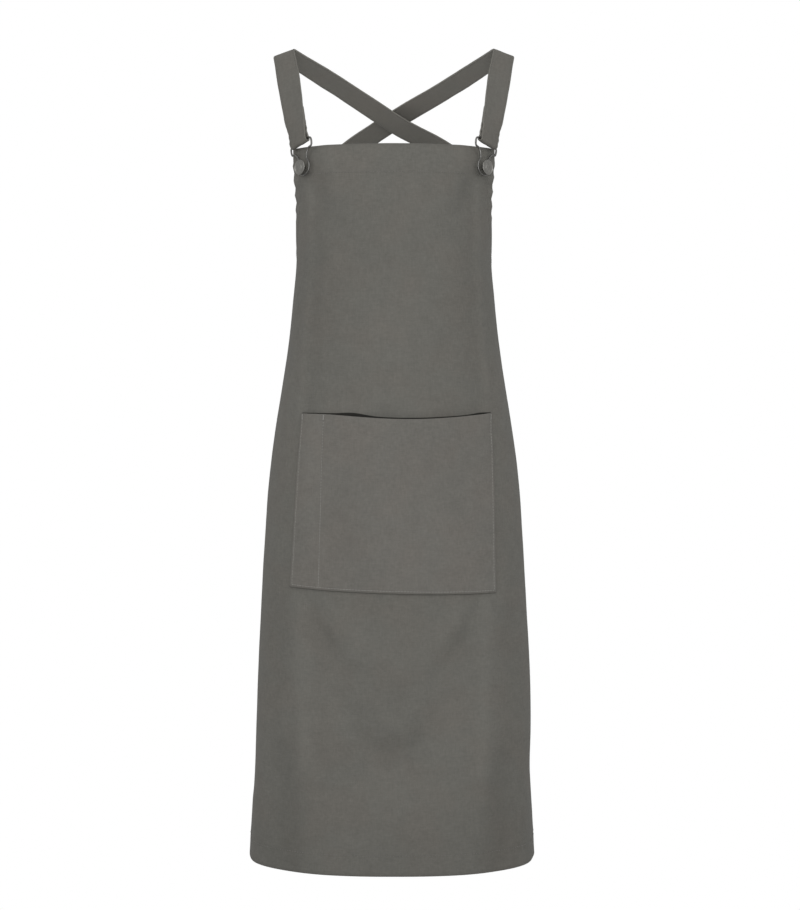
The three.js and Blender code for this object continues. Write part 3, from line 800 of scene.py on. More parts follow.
@dataclass
class Panel:
    """The bib and wrap skirt in one canvas panel, hemmed all round by folding its edges under."""

    form: WornForm
    cloth_thickness: float = 0.9
    columns: int = 150
    rows: int = 196
    side_hem: FoldedEdge = FoldedEdge(15.0)
    top_hem: FoldedEdge = FoldedEdge(36.0)
    foot_hem: FoldedEdge = FoldedEdge(26.0)
    seam_inset: float = 2.0
    # Painted light and shade in the tone: creases paler on ridges and darker in hollows, the rolled edges
    # darker, and the cloth darker toward its foot.
    crease_painted_shading: float = 0.075
    edge_painted_shade: float = 0.08
    pucker_length: float = 17.0
    pucker_depth: float = 1.15
    foot_painted_shade: float = 0.09
    foot_depth: float = 110.0

    def rumple(self, around: float, down: float) -> float:
        """The fine unevenness of hanging cloth, and the puckers along its hems."""
        place = Vector((around * 0.011, down * 0.009, 3.7))
        soft = noise.noise(place) * 1.1 + noise.noise(place * 3.1) * 0.35 + noise.noise(place * 9.0) * 0.10
        edge = self.form.half(down) - abs(around)
        side = math.copysign(1.0, around)
        hem_ripple = 0.22 * math.exp(-((edge - 12.0) / 7.0) ** 2) * math.sin(2 * math.pi * down / 17.0 + side)
        foot = self.form.length - down
        foot_ripple = 0.28 * math.exp(-((foot - 23.0) / 9.0) ** 2) * math.sin(2 * math.pi * around / 23.0)
        return soft * 0.55 + self.pucker_depth * self.puckers(around, down) + hem_ripple + foot_ripple

    def puckers(self, around: float, down: float) -> float:
        """The gathers of the side hem under its button, from -1 to 1."""
        edge = self.form.half(down) - abs(around)
        side = math.copysign(1.0, around)
        pull = math.exp(-((edge - 4.0) / 9.0) ** 2)
        near_button = smoothstep(down, 10.0, 24.0) * (1 - smoothstep(down, 62.0, 100.0))
        uneven = noise.noise(Vector((down * 0.05, side * 5.0, 0.0))) * 2.0
        return pull * near_button * math.sin(2 * math.pi * down / self.pucker_length + 0.8 * side + uneven)

    def surface(self, around: float, down: float, lift: float = 0.0) -> Vector:
        """A point on the panel's outer face, with its rumples."""
        return self.form.cloth(around, down, lift + self.rumple(around, down))

    def place(self, column: int, row: int) -> tuple[Vector, tuple[float, float], float]:
        """Where one corner of the panel's grid lies."""
        side_steps, top_steps, foot_steps = self.side_hem.steps, self.top_hem.steps, self.foot_hem.steps
        inner_rows = self.rows
        drop_top = 0.0
        if row < top_steps:
            out, drop_top, used = self.top_hem.at(top_steps - row)
            down, flat_down = -out, -used
        elif row > top_steps + inner_rows:
            out, drop_top, used = self.foot_hem.at(row - top_steps - inner_rows)
            down, flat_down = self.form.length + out, self.form.length + used
        else:
            down = self.form.length * (row - top_steps) / inner_rows
            flat_down = down
        half = self.form.half(min(max(down, 0.0), self.form.length))
        place = column - side_steps
        drop_side = 0.0
        if place < 0 or place > self.columns:
            side = -1.0 if place < 0 else 1.0
            out, drop_side, used = self.side_hem.at(-place if place < 0 else place - self.columns)
            around, flat_around = side * (half + out), side * (half + used)
        else:
            around = flat_around = half * (2.0 * place / self.columns - 1.0)
        edge = min(half - abs(around), down, self.form.length - down)
        creased = self.form.fold_lift(around, down) - self.form.fold_lift(around, down, False)
        # Painted light and shade: paler and darker by turns on creases and puckers, darker at the rolled
        # edges and toward the foot.
        tone = self.crease_painted_shading * creased
        tone += 0.12 * self.puckers(around, down)
        tone -= self.edge_painted_shade * math.exp(-(max(edge, 0.0) / 1.6) ** 2)
        tone -= self.foot_painted_shade * smoothstep(down, self.form.length - self.foot_depth, self.form.length)
        point = self.surface(around, down, -drop_top - drop_side)
        return point, (flat_around, flat_down), tone

    def build(self, canvas: bpy.types.Material) -> bpy.types.Object:
        """Makes the panel."""
        columns = self.columns + 2 * self.side_hem.steps
        rows = self.rows + self.top_hem.steps + self.foot_hem.steps
        mesh = cloth_grid(columns, rows, self.place)
        front = min(mesh.faces, key=lambda f: (f.calc_center_median() - Vector((0, -130, -500))).length)
        if front.normal.y > 0:
            bmesh.ops.reverse_faces(mesh, faces=mesh.faces)
        panel = to_object(mesh, "canvas_panel", canvas, ["apron_body"])
        thicken(panel, self.cloth_thickness)
        return panel

    def seams(self, thread: bpy.types.Material) -> bpy.types.Object:
        """Stitches the hems."""
        rows = Stitching("panel_stitching")
        form = self.form
        lift = 0.12
        top = self.top_hem.width - self.seam_inset
        foot = form.length - self.foot_hem.width + self.seam_inset
        inset = self.side_hem.width - self.seam_inset
        for down in (top, foot):
            reach = form.half(down) - self.seam_inset
            rows.along(lambda a, d=down: self.surface(a, d, lift),
                       lambda a, d=down: form.normal(a, d), -reach, reach)
        for side in (-1, 1):
            line = self.side_line(side, inset)
            rows.along(lambda s, l=line: self.surface(*l(s), lift), lambda s, l=line: form.normal(*l(s)),
                       0.0, line.length)
        return rows.finish(thread, "canvas")

    def side_line(self, side: int, inset: float) -> "ClothLine":
        """The line that runs down inside one side edge."""
        downs = spaced(2.0, self.form.length - 2.0, 240)
        return ClothLine([(side * (self.form.half(d) - inset), d) for d in downs])


class ClothLine:
    """A line over the cloth through flat points, read by its length."""

    def __init__(self, points: Iterable[tuple[float, float]]) -> None:
        """Keeps the points and the length that reaches each."""
        self.spots = np.array(list(points), dtype=float)
        steps = np.hypot(*np.diff(self.spots, axis=0).T)
        self.lengths = np.concatenate([[0.0], np.cumsum(steps)])
        self.length = float(self.lengths[-1])

    def __call__(self, along: float) -> tuple[float, float]:
        """The flat point at a length along the line."""
        return (float(np.interp(along, self.lengths, self.spots[:, 0])),
                float(np.interp(along, self.lengths, self.spots[:, 1])))


@dataclass
class Pocket:
    """The wide patch pocket, open at the top, with a pen slot stitched off at the left."""

    panel: Panel
    down: float = 320.8
    height: float = 213.2
    width: float = 255.0
    centre: float = -1.0
    mouth_sag: float = 5.4
    mouth_gape: float = 8.0
    taper: float = 13.8
    right_taper: float = 2.2
    foot_rise: float = 7.0
    slot_top: float = 0.129
    slot_foot: float = 0.150
    slot_seam_lift: float = 0.8
    slot_gape: float = 3.0
    cloth_thickness: float = 0.9
    columns: int = 96
    rows: int = 80
    side_fold: FoldedEdge = FoldedEdge(9.0, 1.25, 3, 2)
    mouth_hem: FoldedEdge = FoldedEdge(22.0, 1.25, 3, 4)
    seam_inset: float = 2.3
    tacks: int = 7
    tack_pitch: float = 0.9
    tack_reach: float = 1.5
    tack_lift: float = 0.25
    # Ridges and hollows that exist only as painted light and shade in the tone; each lift is a tone, not
    # millimetres.
    creases: tuple[Fold, ...] = (
        Fold((1,), 48, 118, 98, 196, 16, -0.05),
        Fold((1,), 58, 30, 66, 110, 16, -0.035),
        Fold((1,), 14, 10, 12, 190, 14, 0.035),
        Fold((1,), 112, 30, 118, 150, 18, 0.05),
        Fold((1,), 165, 20, 205, 120, 22, -0.03),
        Fold((1,), 190, 150, 240, 190, 22, 0.03),
        Fold((1,), 2, 150, 22, 146, 3.0, -0.07),
        Fold((1,), 4, 96, 30, 90, 3.0, -0.05),
    )

    def slot_share(self, share: float) -> float:
        """The pen slot's share of the width, at a share down the pocket."""
        return mix(self.slot_top, self.slot_foot, min(max(share, 0.0), 1.0))

    def spot(self, across: float, share: float) -> tuple[float, float]:
        """The flat point at a share across and a share down the pocket."""
        left, right = self.centre - self.width / 2, self.centre + self.width / 2
        around = mix(left + self.taper * (1 - share), right - self.right_taper * (1 - share), across)
        past_slot = min(max((across - self.slot_top) / (1 - self.slot_top), 0.0), 1.0)
        mouth = self.down + self.mouth_sag * math.sin(math.pi * past_slot) ** 1.3
        foot = self.down + self.height - self.foot_rise * (1 - across) ** 2
        return around, mix(mouth, foot, share)

    def bulge(self, across: float, share: float) -> float:
        """How far the pocket stands off the panel."""
        slot = self.slot_share(share)
        in_slot = across < slot
        cell = across / slot if in_slot else (across - slot) / (1 - slot)
        cell = min(max(cell, 0.0), 1.0)
        share = min(max(share, 0.0), 1.0)
        gape = self.slot_gape if in_slot else self.mouth_gape
        wave = 1.0 if in_slot else 0.74 + 0.26 * math.cos(2 * math.pi * (cell * 3.0 - 0.1))
        return gape * math.sin(math.pi * cell) * (1 - share) * mix(1.0, wave, (1 - share) ** 2)

    def surface(self, across: float, share: float, lift: float = 0.0) -> Vector:
        """A point on the pocket's outer face."""
        around, down = self.spot(across, share)
        edge = min(across, 1 - across) * self.width
        seam = math.exp(-((edge - self.seam_inset) / 0.9) ** 2) * 0.25
        line = abs(across - self.slot_share(share)) * self.width
        seam += math.exp(-(line / 1.1) ** 2) * 0.45
        welt = 0.35 * math.exp(-(edge / 1.4) ** 2)
        ripple = 0.30 * math.exp(-((edge - 5.0) / 8.0) ** 2) * math.sin(2 * math.pi * down / 15.0)
        place = Vector((around * 0.02, down * 0.016, 9.1))
        soft = noise.noise(place) * 0.5 + noise.noise(place * 3.3) * 0.2
        quiet = min(1.0, edge / 20.0)
        return self.panel.surface(around, down, SEAM_GAP + 1.9 + self.bulge(across, share)
                                  + welt - seam + ripple + soft * quiet + lift)

    def place(self, column: int, row: int) -> tuple[Vector, tuple[float, float], float]:
        """Where one corner of the pocket's grid lies."""
        side, mouth = self.side_fold.steps, self.mouth_hem.steps
        drop_mouth = drop_side = 0.0
        if row < mouth:
            out, drop_mouth, used = self.mouth_hem.at(mouth - row)
            share, flat_down = -out / self.height, -used
        elif row > mouth + self.rows:
            out, drop_mouth, used = self.side_fold.at(row - mouth - self.rows)
            share, flat_down = 1 + out / self.height, self.height + used
        else:
            share = (row - mouth) / self.rows
            flat_down = share * self.height
        place = column - side
        if place < 0 or place > self.columns:
            way = -1.0 if place < 0 else 1.0
            out, drop_side, used = self.side_fold.at(-place if place < 0 else place - self.columns)
            across = 0.5 + way * (0.5 + out / self.width)
            flat_across = way * (self.width / 2 + used)
        else:
            across = place / self.columns
            flat_across = (across - 0.5) * self.width
        edge = min(across, 1 - across) * self.width
        rise = min(share, 1 - share) * self.height
        # The tone: paler along the side stitch lines, the pen slot's line and just below the mouth's fold;
        # painted shade at the mouth and foot edges, much darker on the mouth hem's fold; painted light and
        # shade on the creases.
        tone = 0.16 * math.exp(-((edge - self.seam_inset) / 1.3) ** 2)
        tone -= 0.10 * math.exp(-(max(rise, 0.0) / 1.2) ** 2)
        tone += 0.10 * math.exp(-(((across - self.slot_share(share)) * self.width) / 1.5) ** 2)
        tone += 0.10 * math.exp(-(share * self.height / 1.6) ** 2) if share >= 0 else -0.6
        tone += self.crease_painted_shading(across * self.width, share * self.height)
        point = self.surface(across, share, -drop_mouth - drop_side)
        return point, (flat_across, flat_down), tone

    def crease_painted_shading(self, across: float, below: float) -> float:
        """Painted light and shade on the pocket: paler ridges and darker hollows.

        Args:
            across: millimetres from the pocket's left side.
            below: millimetres below its mouth.

        Returns:
            The tone, above 0 where paler.
        """
        tone = 0.0
        for fold in self.creases:
            ux, uy = fold.to_around - fold.around, fold.to_down - fold.down
            run = math.hypot(ux, uy)
            dx, dy = across - fold.around, below - fold.down
            along = (dx * ux + dy * uy) / run
            past = along - min(max(along, 0.0), run)
            off = (dx * uy - dy * ux) / run
            tone += fold.lift * math.exp(-(off * off + past * past / 2) / fold.spread ** 2)
        return tone

    def shadow(self, tree: ShaderTree, across: Num, along: Num) -> Num:
        """The dark line that the pocket's edges and its open mouth leave on the panel behind.

        Args:
            tree: the panel's material.
            across: the panel's map along its width, in metres.
            along: the panel's map down its length, in metres.

        Returns:
            The share of shadow.
        """
        around, down = across / MM, along / MM
        share = (down - self.down) / self.height
        left = self.centre - self.width / 2 + self.taper * (1 - share)
        right = self.centre + self.width / 2 - self.right_taper * (1 - share)
        place = (around - left) / (right - left)
        past_slot = ((place - self.slot_top) / (1 - self.slot_top)).kept()
        mouth = self.down + self.mouth_sag * (past_slot * math.pi).sine().kept(0.0001) ** 1.3
        foot = self.down + self.height - self.foot_rise * (1 - place) * (1 - place)
        beside = place.within(0.0, 1.0, 0.004)
        slit = (1.25 + 2.9 * place.bell(0.28, 0.085) + 1.0 * place.bell(0.93, 0.05)
                + 0.3 * place.bell(0.55, 0.2))
        open_mouth = down.within(mouth - slit, mouth + 9.0, 0.7) * beside
        under_foot = down.within(foot - 3.0, foot + 0.9, 0.8) * beside * 0.34
        upright = down.within(mouth, foot, 1.0)
        beyond = around.within(left - 2.2, left, 0.7) + around.within(right, right + 2.0, 0.7)
        sides = beyond * upright * 0.15
        return (open_mouth * 0.93 + under_foot + sides).kept()

    def build(self, canvas: bpy.types.Material) -> bpy.types.Object:
        """Makes the pocket."""
        mesh = cloth_grid(self.columns + 2 * self.side_fold.steps,
                          self.rows + self.mouth_hem.steps + self.side_fold.steps, self.place)
        front = min(mesh.faces, key=lambda f: (f.calc_center_median() - Vector((0, -140, -560))).length)
        if front.normal.y > 0:
            bmesh.ops.reverse_faces(mesh, faces=mesh.faces)
        pocket = to_object(mesh, "patch_pocket", canvas, ["pocket"])
        thicken(pocket, self.cloth_thickness * 0.6)
        return pocket

    def seams(self, thread: bpy.types.Material) -> bpy.types.Object:
        """Stitches the sides, the foot and the pen slot, with a tack at the top of each side and of the slot.
        """
        rows = Stitching("pocket_stitching", thread=0.85)
        lift = 0.1
        inset = self.seam_inset / self.width
        rise = self.seam_inset / self.height

        def out(across: float, share: float) -> Vector:
            around, down = self.spot(across, share)
            return self.panel.form.normal(around, down)

        lines = ((lambda s: inset, 0.0), (lambda s: 1 - inset, 0.0), (self.slot_share, self.slot_seam_lift))
        for line, more in lines:
            rows.along(lambda s, a=line, m=more: self.surface(a(s / self.height), s / self.height,
                                                              lift + m * (1 - s / self.height)),
                       lambda s, a=line: out(a(s / self.height), s / self.height), 1.0,
                       self.height - self.seam_inset)
        rows.along(lambda a: self.surface(a / self.width, 1 - rise, lift),
                   lambda a: out(a / self.width, 1 - rise), self.seam_inset, self.width - self.seam_inset)
        tacks = bmesh.new()
        for across in (inset, 1 - inset, self.slot_top):
            for step in range(self.tacks):
                share = (1.0 + step * self.tack_pitch) / self.height
                wide = self.tack_reach / self.width
                rows.stitch(tacks, self.surface(across - wide, share, self.tack_lift),
                            self.surface(across + wide, share, self.tack_lift), out(across, share))
        rows.take(tacks)
        return rows.finish(thread, "pocket_canvas")


@dataclass(frozen=True)
class HookSizes:
    """The wire hook's sizes and how it sits on the bib."""

    wire: float = 2.3
    bend: float = 4.2
    top_width: float = 38.0
    height: float = 32.0
    top_height: float = 12.0
    waist: float = 20.0
    neck: float = 14.0
    loop_radius: float = 9.8
    turn: float = 48.0
    lean: float = 18.0
    tilt: float = 7.5
    stand: float = 3.6
    aside: float = 3.0
    button_down: float = 26.0
    button_inset: float = 22.7


@dataclass
class Hook:
    """One bent wire hook, and the frame that it and its button stand in."""

    form: WornForm
    side: Side
    sizes: HookSizes = HookSizes()

    def __post_init__(self) -> None:
        """Works out the hook's frame on the cloth."""
        sizes, side = self.sizes, self.side.value
        around = side * (self.form.half(sizes.button_down) - sizes.button_inset)
        self.stud = self.form.cloth(around, sizes.button_down, 0.0, False)
        self.normal = self.form.normal(around, sizes.button_down)
        turn, lean = math.radians(sizes.turn), math.radians(sizes.lean)
        level = Vector((-side * math.cos(turn), -math.sin(turn), 0.0))
        sideways = side * math.tan(math.radians(sizes.tilt))
        self.up = Vector((sideways, math.sin(lean), math.cos(lean))).normalized()
        self.across = (level - self.up * level.dot(self.up)).normalized()
        self.out = self.across.cross(self.up) if side < 0 else self.up.cross(self.across)
        self.seat = self.stud + self.normal * sizes.stand + self.across * sizes.aside

    def place(self, u: float, v: float, w: float = 0.0) -> Vector:
        """A point in the hook's own frame."""
        return self.seat + self.across * u + self.up * v + self.out * w

    def path(self, count: int = 220) -> list[Vector]:
        """Points round the wire's centre line."""
        s = self.sizes
        wide, waist, neck = s.top_width / 2, s.waist / 2, s.neck / 2
        shoulder = s.height - s.top_height
        inset = s.bend * (1 - math.sqrt(0.5))
        neck_angle = math.asin(neck / s.loop_radius)
        neck_top = s.loop_radius * math.cos(neck_angle) + s.wire
        arm = [
            (0, s.height), (wide / 2, s.height), (wide - s.bend, s.height), (wide - inset, s.height - inset),
            (wide, s.height - s.bend), (wide - inset, shoulder + inset), (waist + 2 * inset, shoulder),
            (waist, shoulder - 2 * inset), ((waist + neck) / 2, (shoulder + neck_top) / 2), (neck, neck_top),
        ]
        steps = 5
        start = mix(neck_angle, math.pi, 1 / (steps + 1))
        arm += [(s.loop_radius * math.sin(a), s.loop_radius * math.cos(a))
                for a in spaced(start, math.pi, steps)]
        points = arm + [(-u, v) for u, v in reversed(arm[1:-1])]
        curve = SmoothCurve([self.place(u, v) for u, v in points], closed=True)
        return [curve.at(step / count) for step in range(count)]

    def build(self, metal: bpy.types.Material) -> bpy.types.Object:
        """Makes the wire."""
        name = f"wire_hook_{self.side.word}"
        curve = bpy.data.curves.new(name, "CURVE")
        curve.dimensions = "3D"
        curve.bevel_depth = self.sizes.wire / 2
        curve.bevel_resolution = 4
        spline = curve.splines.new("POLY")
        points = self.path()
        spline.points.add(len(points) - 1)
        for spot, point in zip(spline.points, points):
            spot.co = (*point, 1.0)
        spline.use_cyclic_u = True
        holder = bpy.data.objects.new(name, curve)
        bpy.context.collection.objects.link(holder)
        made = bpy.data.meshes.new_from_object(holder.evaluated_get(bpy.context.evaluated_depsgraph_get()))
        bpy.data.objects.remove(holder)
        bpy.data.curves.remove(curve)
        mesh = bmesh.new()
        mesh.from_mesh(made)
        bpy.data.meshes.remove(made)
        bmesh.ops.remove_doubles(mesh, verts=mesh.verts, dist=0.001)
        bmesh.ops.recalc_face_normals(mesh, faces=mesh.faces)
        return to_object(mesh, name, metal, [f"buckle_{self.side.word}"])


@dataclass
class Button:
    """A rimmed metal button with a beaded ring, riveted through the bib."""

    hook: Hook
    diameter: float = 18.0
    thickness: float = 3.0
    rim_width: float = 1.7
    dish_depth: float = 0.6
    edge_round: float = 0.6
    rim_thickness: float = 1.3
    boss_diameter: float = 7.0
    stud_diameter: float = 5.0
    stud_height: float = 5.8
    rivet_diameter: float = 10.0
    rivet_thickness: float = 1.2
    rivet_drop: float = 3.1
    beads: int = 18
    bead_radius: float = 0.42

    def profile(self) -> list[tuple[float, float]]:
        """The half section, from the rivet's middle up to the face's middle."""
        disc, stud = self.diameter / 2, self.stud_diameter / 2
        top = self.stud_height + self.thickness
        behind = -self.rivet_drop
        rivet = self.rivet_diameter / 2
        dish, boss, edge = disc - self.rim_width, self.boss_diameter / 2, self.edge_round
        round_rim = [(disc - edge + edge * math.sin(a), top - edge + edge * math.cos(a))
                     for a in spaced(math.pi / 2, 0.0, 5)]
        under = top - self.rim_thickness
        round_foot = [(disc - self.rim_thickness * 0.8, under - 0.15), (disc - 0.3, under),
                      (disc, under + 0.3)]
        fall = [(mix(disc - edge, dish, s), top - self.dish_depth * (s * s * (3 - 2 * s)))
                for s in spaced(0.25, 1, 5)]
        dome = [(boss * math.cos(a), top - self.dish_depth + 0.75 * self.dish_depth * math.sin(a))
                for a in spaced(0.0, math.pi / 2 - 0.12, 5)]
        foot = self.rivet_thickness
        return [
            (0.0, behind - foot), (rivet - 1.4, behind - foot), (rivet - 0.5, behind - foot * 0.75),
            (rivet, behind - foot * 0.4), (rivet - 0.15, behind), (stud + 0.1, behind), (stud, behind + 0.1),
            (stud, self.stud_height - 0.4), (stud + 0.4, self.stud_height), *round_foot, *round_rim, *fall,
            (boss + 0.5, top - self.dish_depth), *dome, (0.0, top - self.dish_depth * 0.25),
        ]

    def build(self, metal: bpy.types.Material) -> bpy.types.Object:
        """Makes the button and its rivet as one piece."""
        mesh = bmesh.new()
        points = [mesh.verts.new((r, 0.0, z)) for r, z in self.profile()]
        line = [mesh.edges.new(pair) for pair in zip(points, points[1:])]
        bmesh.ops.spin(mesh, geom=[*points, *line], cent=(0, 0, 0), axis=(0, 0, 1), angle=2 * math.pi,
                       steps=56, use_merge=True)
        bmesh.ops.remove_doubles(mesh, verts=mesh.verts, dist=0.001)
        top = self.stud_height + self.thickness - self.dish_depth
        ring = mix(self.boss_diameter / 2, self.diameter / 2 - self.rim_width, 0.52)
        for bead in range(self.beads):
            angle = 2 * math.pi * bead / self.beads
            spot = Vector((ring * math.cos(angle), ring * math.sin(angle), top))
            bmesh.ops.create_uvsphere(mesh, u_segments=8, v_segments=6, radius=self.bead_radius,
                                      matrix=Matrix.Translation(spot))
        for ray in range(8):
            angle = 2 * math.pi * ray / 8
            way = Vector((math.cos(angle), math.sin(angle), 0.0))
            spot = way * self.boss_diameter * 0.27 + Vector((0, 0, top + 0.38))
            shape = Matrix.Diagonal((0.75, 0.24, 0.2, 1.0))
            turned = Matrix.Translation(spot) @ Matrix.Rotation(angle, 4, "Z") @ shape
            bmesh.ops.create_uvsphere(mesh, u_segments=8, v_segments=6, radius=1.0, matrix=turned)
        bmesh.ops.recalc_face_normals(mesh, faces=mesh.faces)
        turn = Vector((0, 0, 1)).rotation_difference(self.hook.normal).to_matrix().to_4x4()
        bmesh.ops.transform(mesh, matrix=Matrix.Translation(self.hook.stud) @ turn, verts=mesh.verts)
        side = self.hook.side.word
        return to_object(mesh, f"riveted_button_{side}", metal, [f"button_{side}"])


@dataclass
class Station:
    """One place along a strap: its middle, the way across, and how it is bent and gathered there."""

    point: Vector
    across: Vector
    camber: float = 0.0
    gather: float = 1.0


@dataclass(frozen=True)
class StrapSizes:
    """A strap's sizes and the course that it takes."""

    width: float = 30.6
    thickness: float = 2.4
    shoulder_span: float = 271.0
    shoulder_tilt: float = 16.0
    shoulder_skew: float = 29.0
    fold_bend: float = 4.0
    cross_drop: float = 75.0
    cross_reach: float = 101.0
    cross_shift: float = 3.0
    tail: float = 44.0
    seat_length: float = 34.0
    seat_ease: float = 0.4
    seat_slant: float = 25.0
    rib_swell: float = 23.0
    aside: float = 2.0
    bar_gather: float = 1.0
    tail_gather: float = 0.90
    cross_ease: float = 3.4
    cross_spread: float = 60.0
    side_hem: float = 15.0
    hem_thickness: float = 2.6
    front_rows: tuple[tuple[float, ...], ...] = ((0.30, 0.28, 0.23, 0.82), (0.68, 0.64, 0.61, 0.58))
    back_rows: tuple[tuple[float, ...], ...] = (
        (0.52, 0.59, 0.47, 0.0, 1.0), (0.0, 1.0, 1.0, 0.0, 1.03), (-0.52, 1.25, 1.57, 0.10, 1.13))
    rib_rows: tuple[tuple[float, float], ...] = ((0.33, 0.5), (0.67, 0.85))
    swell_way: tuple[float, float, float] = (0.63, 0.71, 0.33)
    seat_shares: tuple[float, ...] = (-0.9, -0.35, 0.18, 1.0)
    tail_rows: tuple[tuple[float, float], ...] = ((1.0, 0.0), (0.5, 0.0), (0.12, 0.76))


@dataclass
class Strap:
    """One doubled canvas strap, edge-stitched, from its hook over the shoulder to the panel's corner."""

    panel: Panel
    hook: Hook
    sizes: StrapSizes = StrapSizes()
    run_steps: int = 16
    stitch_inset: float = 2.4
    # Painted light: how much paler the strap's inner face is painted.
    inner_tone: float = 0.85
    stations: list[Station] = field(default_factory=list)

    def __post_init__(self) -> None:
        """Works out the strap's course."""
        self.side = self.hook.side.value
        self.stations = self.course()

    def seat_spot(self, below: float) -> tuple[float, float, float]:
        """The flat point and the lift of the seam's middle, below the panel's corner."""
        form, s = self.panel.form, self.sizes
        top = form.half(form.corner_down) - s.side_hem / 2 - s.width / 2
        around = -self.side * (top - math.tan(math.radians(s.seat_slant)) * below)
        return around, form.corner_down + below, -(s.hem_thickness + SEAM_GAP + s.seat_ease + s.thickness / 2)

    def seat_station(self, below: float) -> Station:
        """One station of the seam."""
        form, s = self.panel.form, self.sizes
        around, down, lift = self.seat_spot(below)
        point = form.cloth(around, down, lift, False)
        slant = math.tan(math.radians(s.seat_slant)) * s.width / 2
        outer = form.cloth(around - self.side * s.width / 2, down - slant, lift, False)
        inner = form.cloth(around + self.side * s.width / 2, down + slant, lift, False)
        camber = ((inner + outer) / 2 - point).dot(form.normal(around, down))
        return Station(point, (inner - outer).normalized(), camber)

    def smooth_run(self, keys: Sequence[Station], steps: int) -> list[Station]:
        """Stations along a smooth curve through a few of them."""
        curve = SmoothCurve([key.point for key in keys])
        gaps = len(keys) - 1
        run = []
        for share in spaced(0.0, 1.0, gaps * steps):
            place = min(math.floor(share * gaps + 1e-9), gaps - 1)
            here, after = keys[place], keys[place + 1]
            between = smoothstep(share * gaps - place, 0.0, 1.0)
            run.append(Station(curve.at(share), here.across.lerp(after.across, between).normalized(),
                               mix(here.camber, after.camber, between),
                               mix(here.gather, after.gather, between)))
        return run

    def course(self) -> list[Station]:
        """All the strap's stations, from its tail to its seam."""
        s, side, hook = self.sizes, self.side, self.hook
        bar = hook.place(-s.aside, hook.sizes.height)
        ring = hook.sizes.wire / 2 + SEAM_GAP + s.thickness / 2
        front = bar + hook.out * ring
        ridge = Vector((side * s.shoulder_span / 2, 0.0, 0.0))
        fold = Vector((-side, -math.tan(math.radians(s.shoulder_skew)),
                       math.tan(math.radians(s.shoulder_tilt)))).normalized()
        way = (ridge - front).normalized()
        chest = []
        for rise, aside, back, turned in s.front_rows:
            point = Vector((mix(front.x, ridge.x, aside), mix(front.y, ridge.y, back),
                            mix(front.z, ridge.z, rise)))
            turn = math.radians(hook.sizes.turn * turned)
            level = Vector((-side * math.cos(turn), -math.sin(turn), 0.0))
            chest.append(Station(point, (level - way * level.dot(way)).normalized()))
        up_way = (ridge - chest[1].point).normalized()
        fold_start = Station(ridge - up_way * s.fold_bend, fold)

        seat = [self.seat_station(share * s.seat_length) for share in s.seat_shares]
        swell = Vector((-side * s.swell_way[0], s.swell_way[1], s.swell_way[2])).normalized() * s.rib_swell
        over_back = [Vector((mix(s.cross_shift, ridge.x, aside), s.cross_reach * back,
                             -s.cross_drop * drop))
                     for aside, back, drop, _, _ in s.back_rows]
        past = over_back[-1]
        ribs = [past.lerp(seat[0].point, along) + swell for along, _ in s.rib_rows]
        points = [ridge, *over_back, *ribs, seat[0].point]
        lean = math.atan2(s.cross_reach, s.cross_drop)
        leaning = Vector((0.0, math.cos(lean), math.sin(lean)))
        around, down, _ = self.seat_spot(s.seat_shares[0] * s.seat_length)
        seat_normal = self.panel.form.normal(around, down)
        facings = [(row[3], row[4]) for row in s.back_rows] + [(row[1], 1.0) for row in s.rib_rows]
        back = []
        for place, (facing, spread) in enumerate(facings):
            normal = leaning.lerp(seat_normal, facing)
            across = normal.cross(points[place + 2] - points[place]).normalized() * side
            back.append(Station(points[place + 1], across, 0.0, spread))
        back_way = (points[1] - ridge).normalized()
        fold_end = Station(ridge + back_way * s.fold_bend, fold)

        loop = [Station(bar + hook.out * (ring * math.cos(a)) - hook.up * (ring * math.sin(a)),
                        hook.across, 0.0, s.bar_gather) for a in spaced(math.pi, 0.0, 14)]
        start = Station(front, hook.across, 0.0, s.bar_gather)
        above = Station(front + hook.up * s.tail / 3, hook.across)
        up_front = self.smooth_run([start, above, *chest, fold_start], self.run_steps)
        tail = []
        for rise, open_share in s.tail_rows:
            inward = max(s.thickness + 2 * SEAM_GAP, 2 * ring * open_share)
            beside = min(range(1, len(up_front)),
                         key=lambda i, r=rise: abs((up_front[i].point - front).length - s.tail * r))
            here, last = up_front[beside], up_front[beside - 1]
            facing = here.across.cross((here.point - last.point).normalized()).normalized() * -side
            tail.append(Station(here.point - facing * inward, here.across, 0.0,
                                mix(1.0, s.tail_gather, rise)))
        bend = []
        for share in spaced(0.0, 1.0, 12)[1:-1]:
            point = (fold_start.point * (1 - share) ** 2 + ridge * 2 * share * (1 - share)
                     + fold_end.point * share ** 2)
            bend.append(Station(point, fold))
        return [*self.smooth_run(tail, 10), *loop[:-1],
                *up_front, *bend,
                *self.smooth_run([fold_end, *back, *seat], self.run_steps)]

    def section(self) -> list[tuple[float, float]]:
        """The strap's section, as shares of its half width and half thickness, once round."""
        groove = 1 - self.stitch_inset / (self.sizes.width / 2)
        face = [(-0.975, 0.55), (-0.93, 0.98), (-groove - 0.035, 0.98), (-groove, 0.72),
                (-groove + 0.04, 0.95), (-0.6, 1.0), (-0.3, 1.0), (0.0, 1.0)]
        right = [(-u, w) for u, w in reversed(face[:-1])]
        top = [(-1.0, 0.0), *face, *right]
        return [*top, (1.0, 0.0), *[(-u, -w) for u, w in top[1:]]]

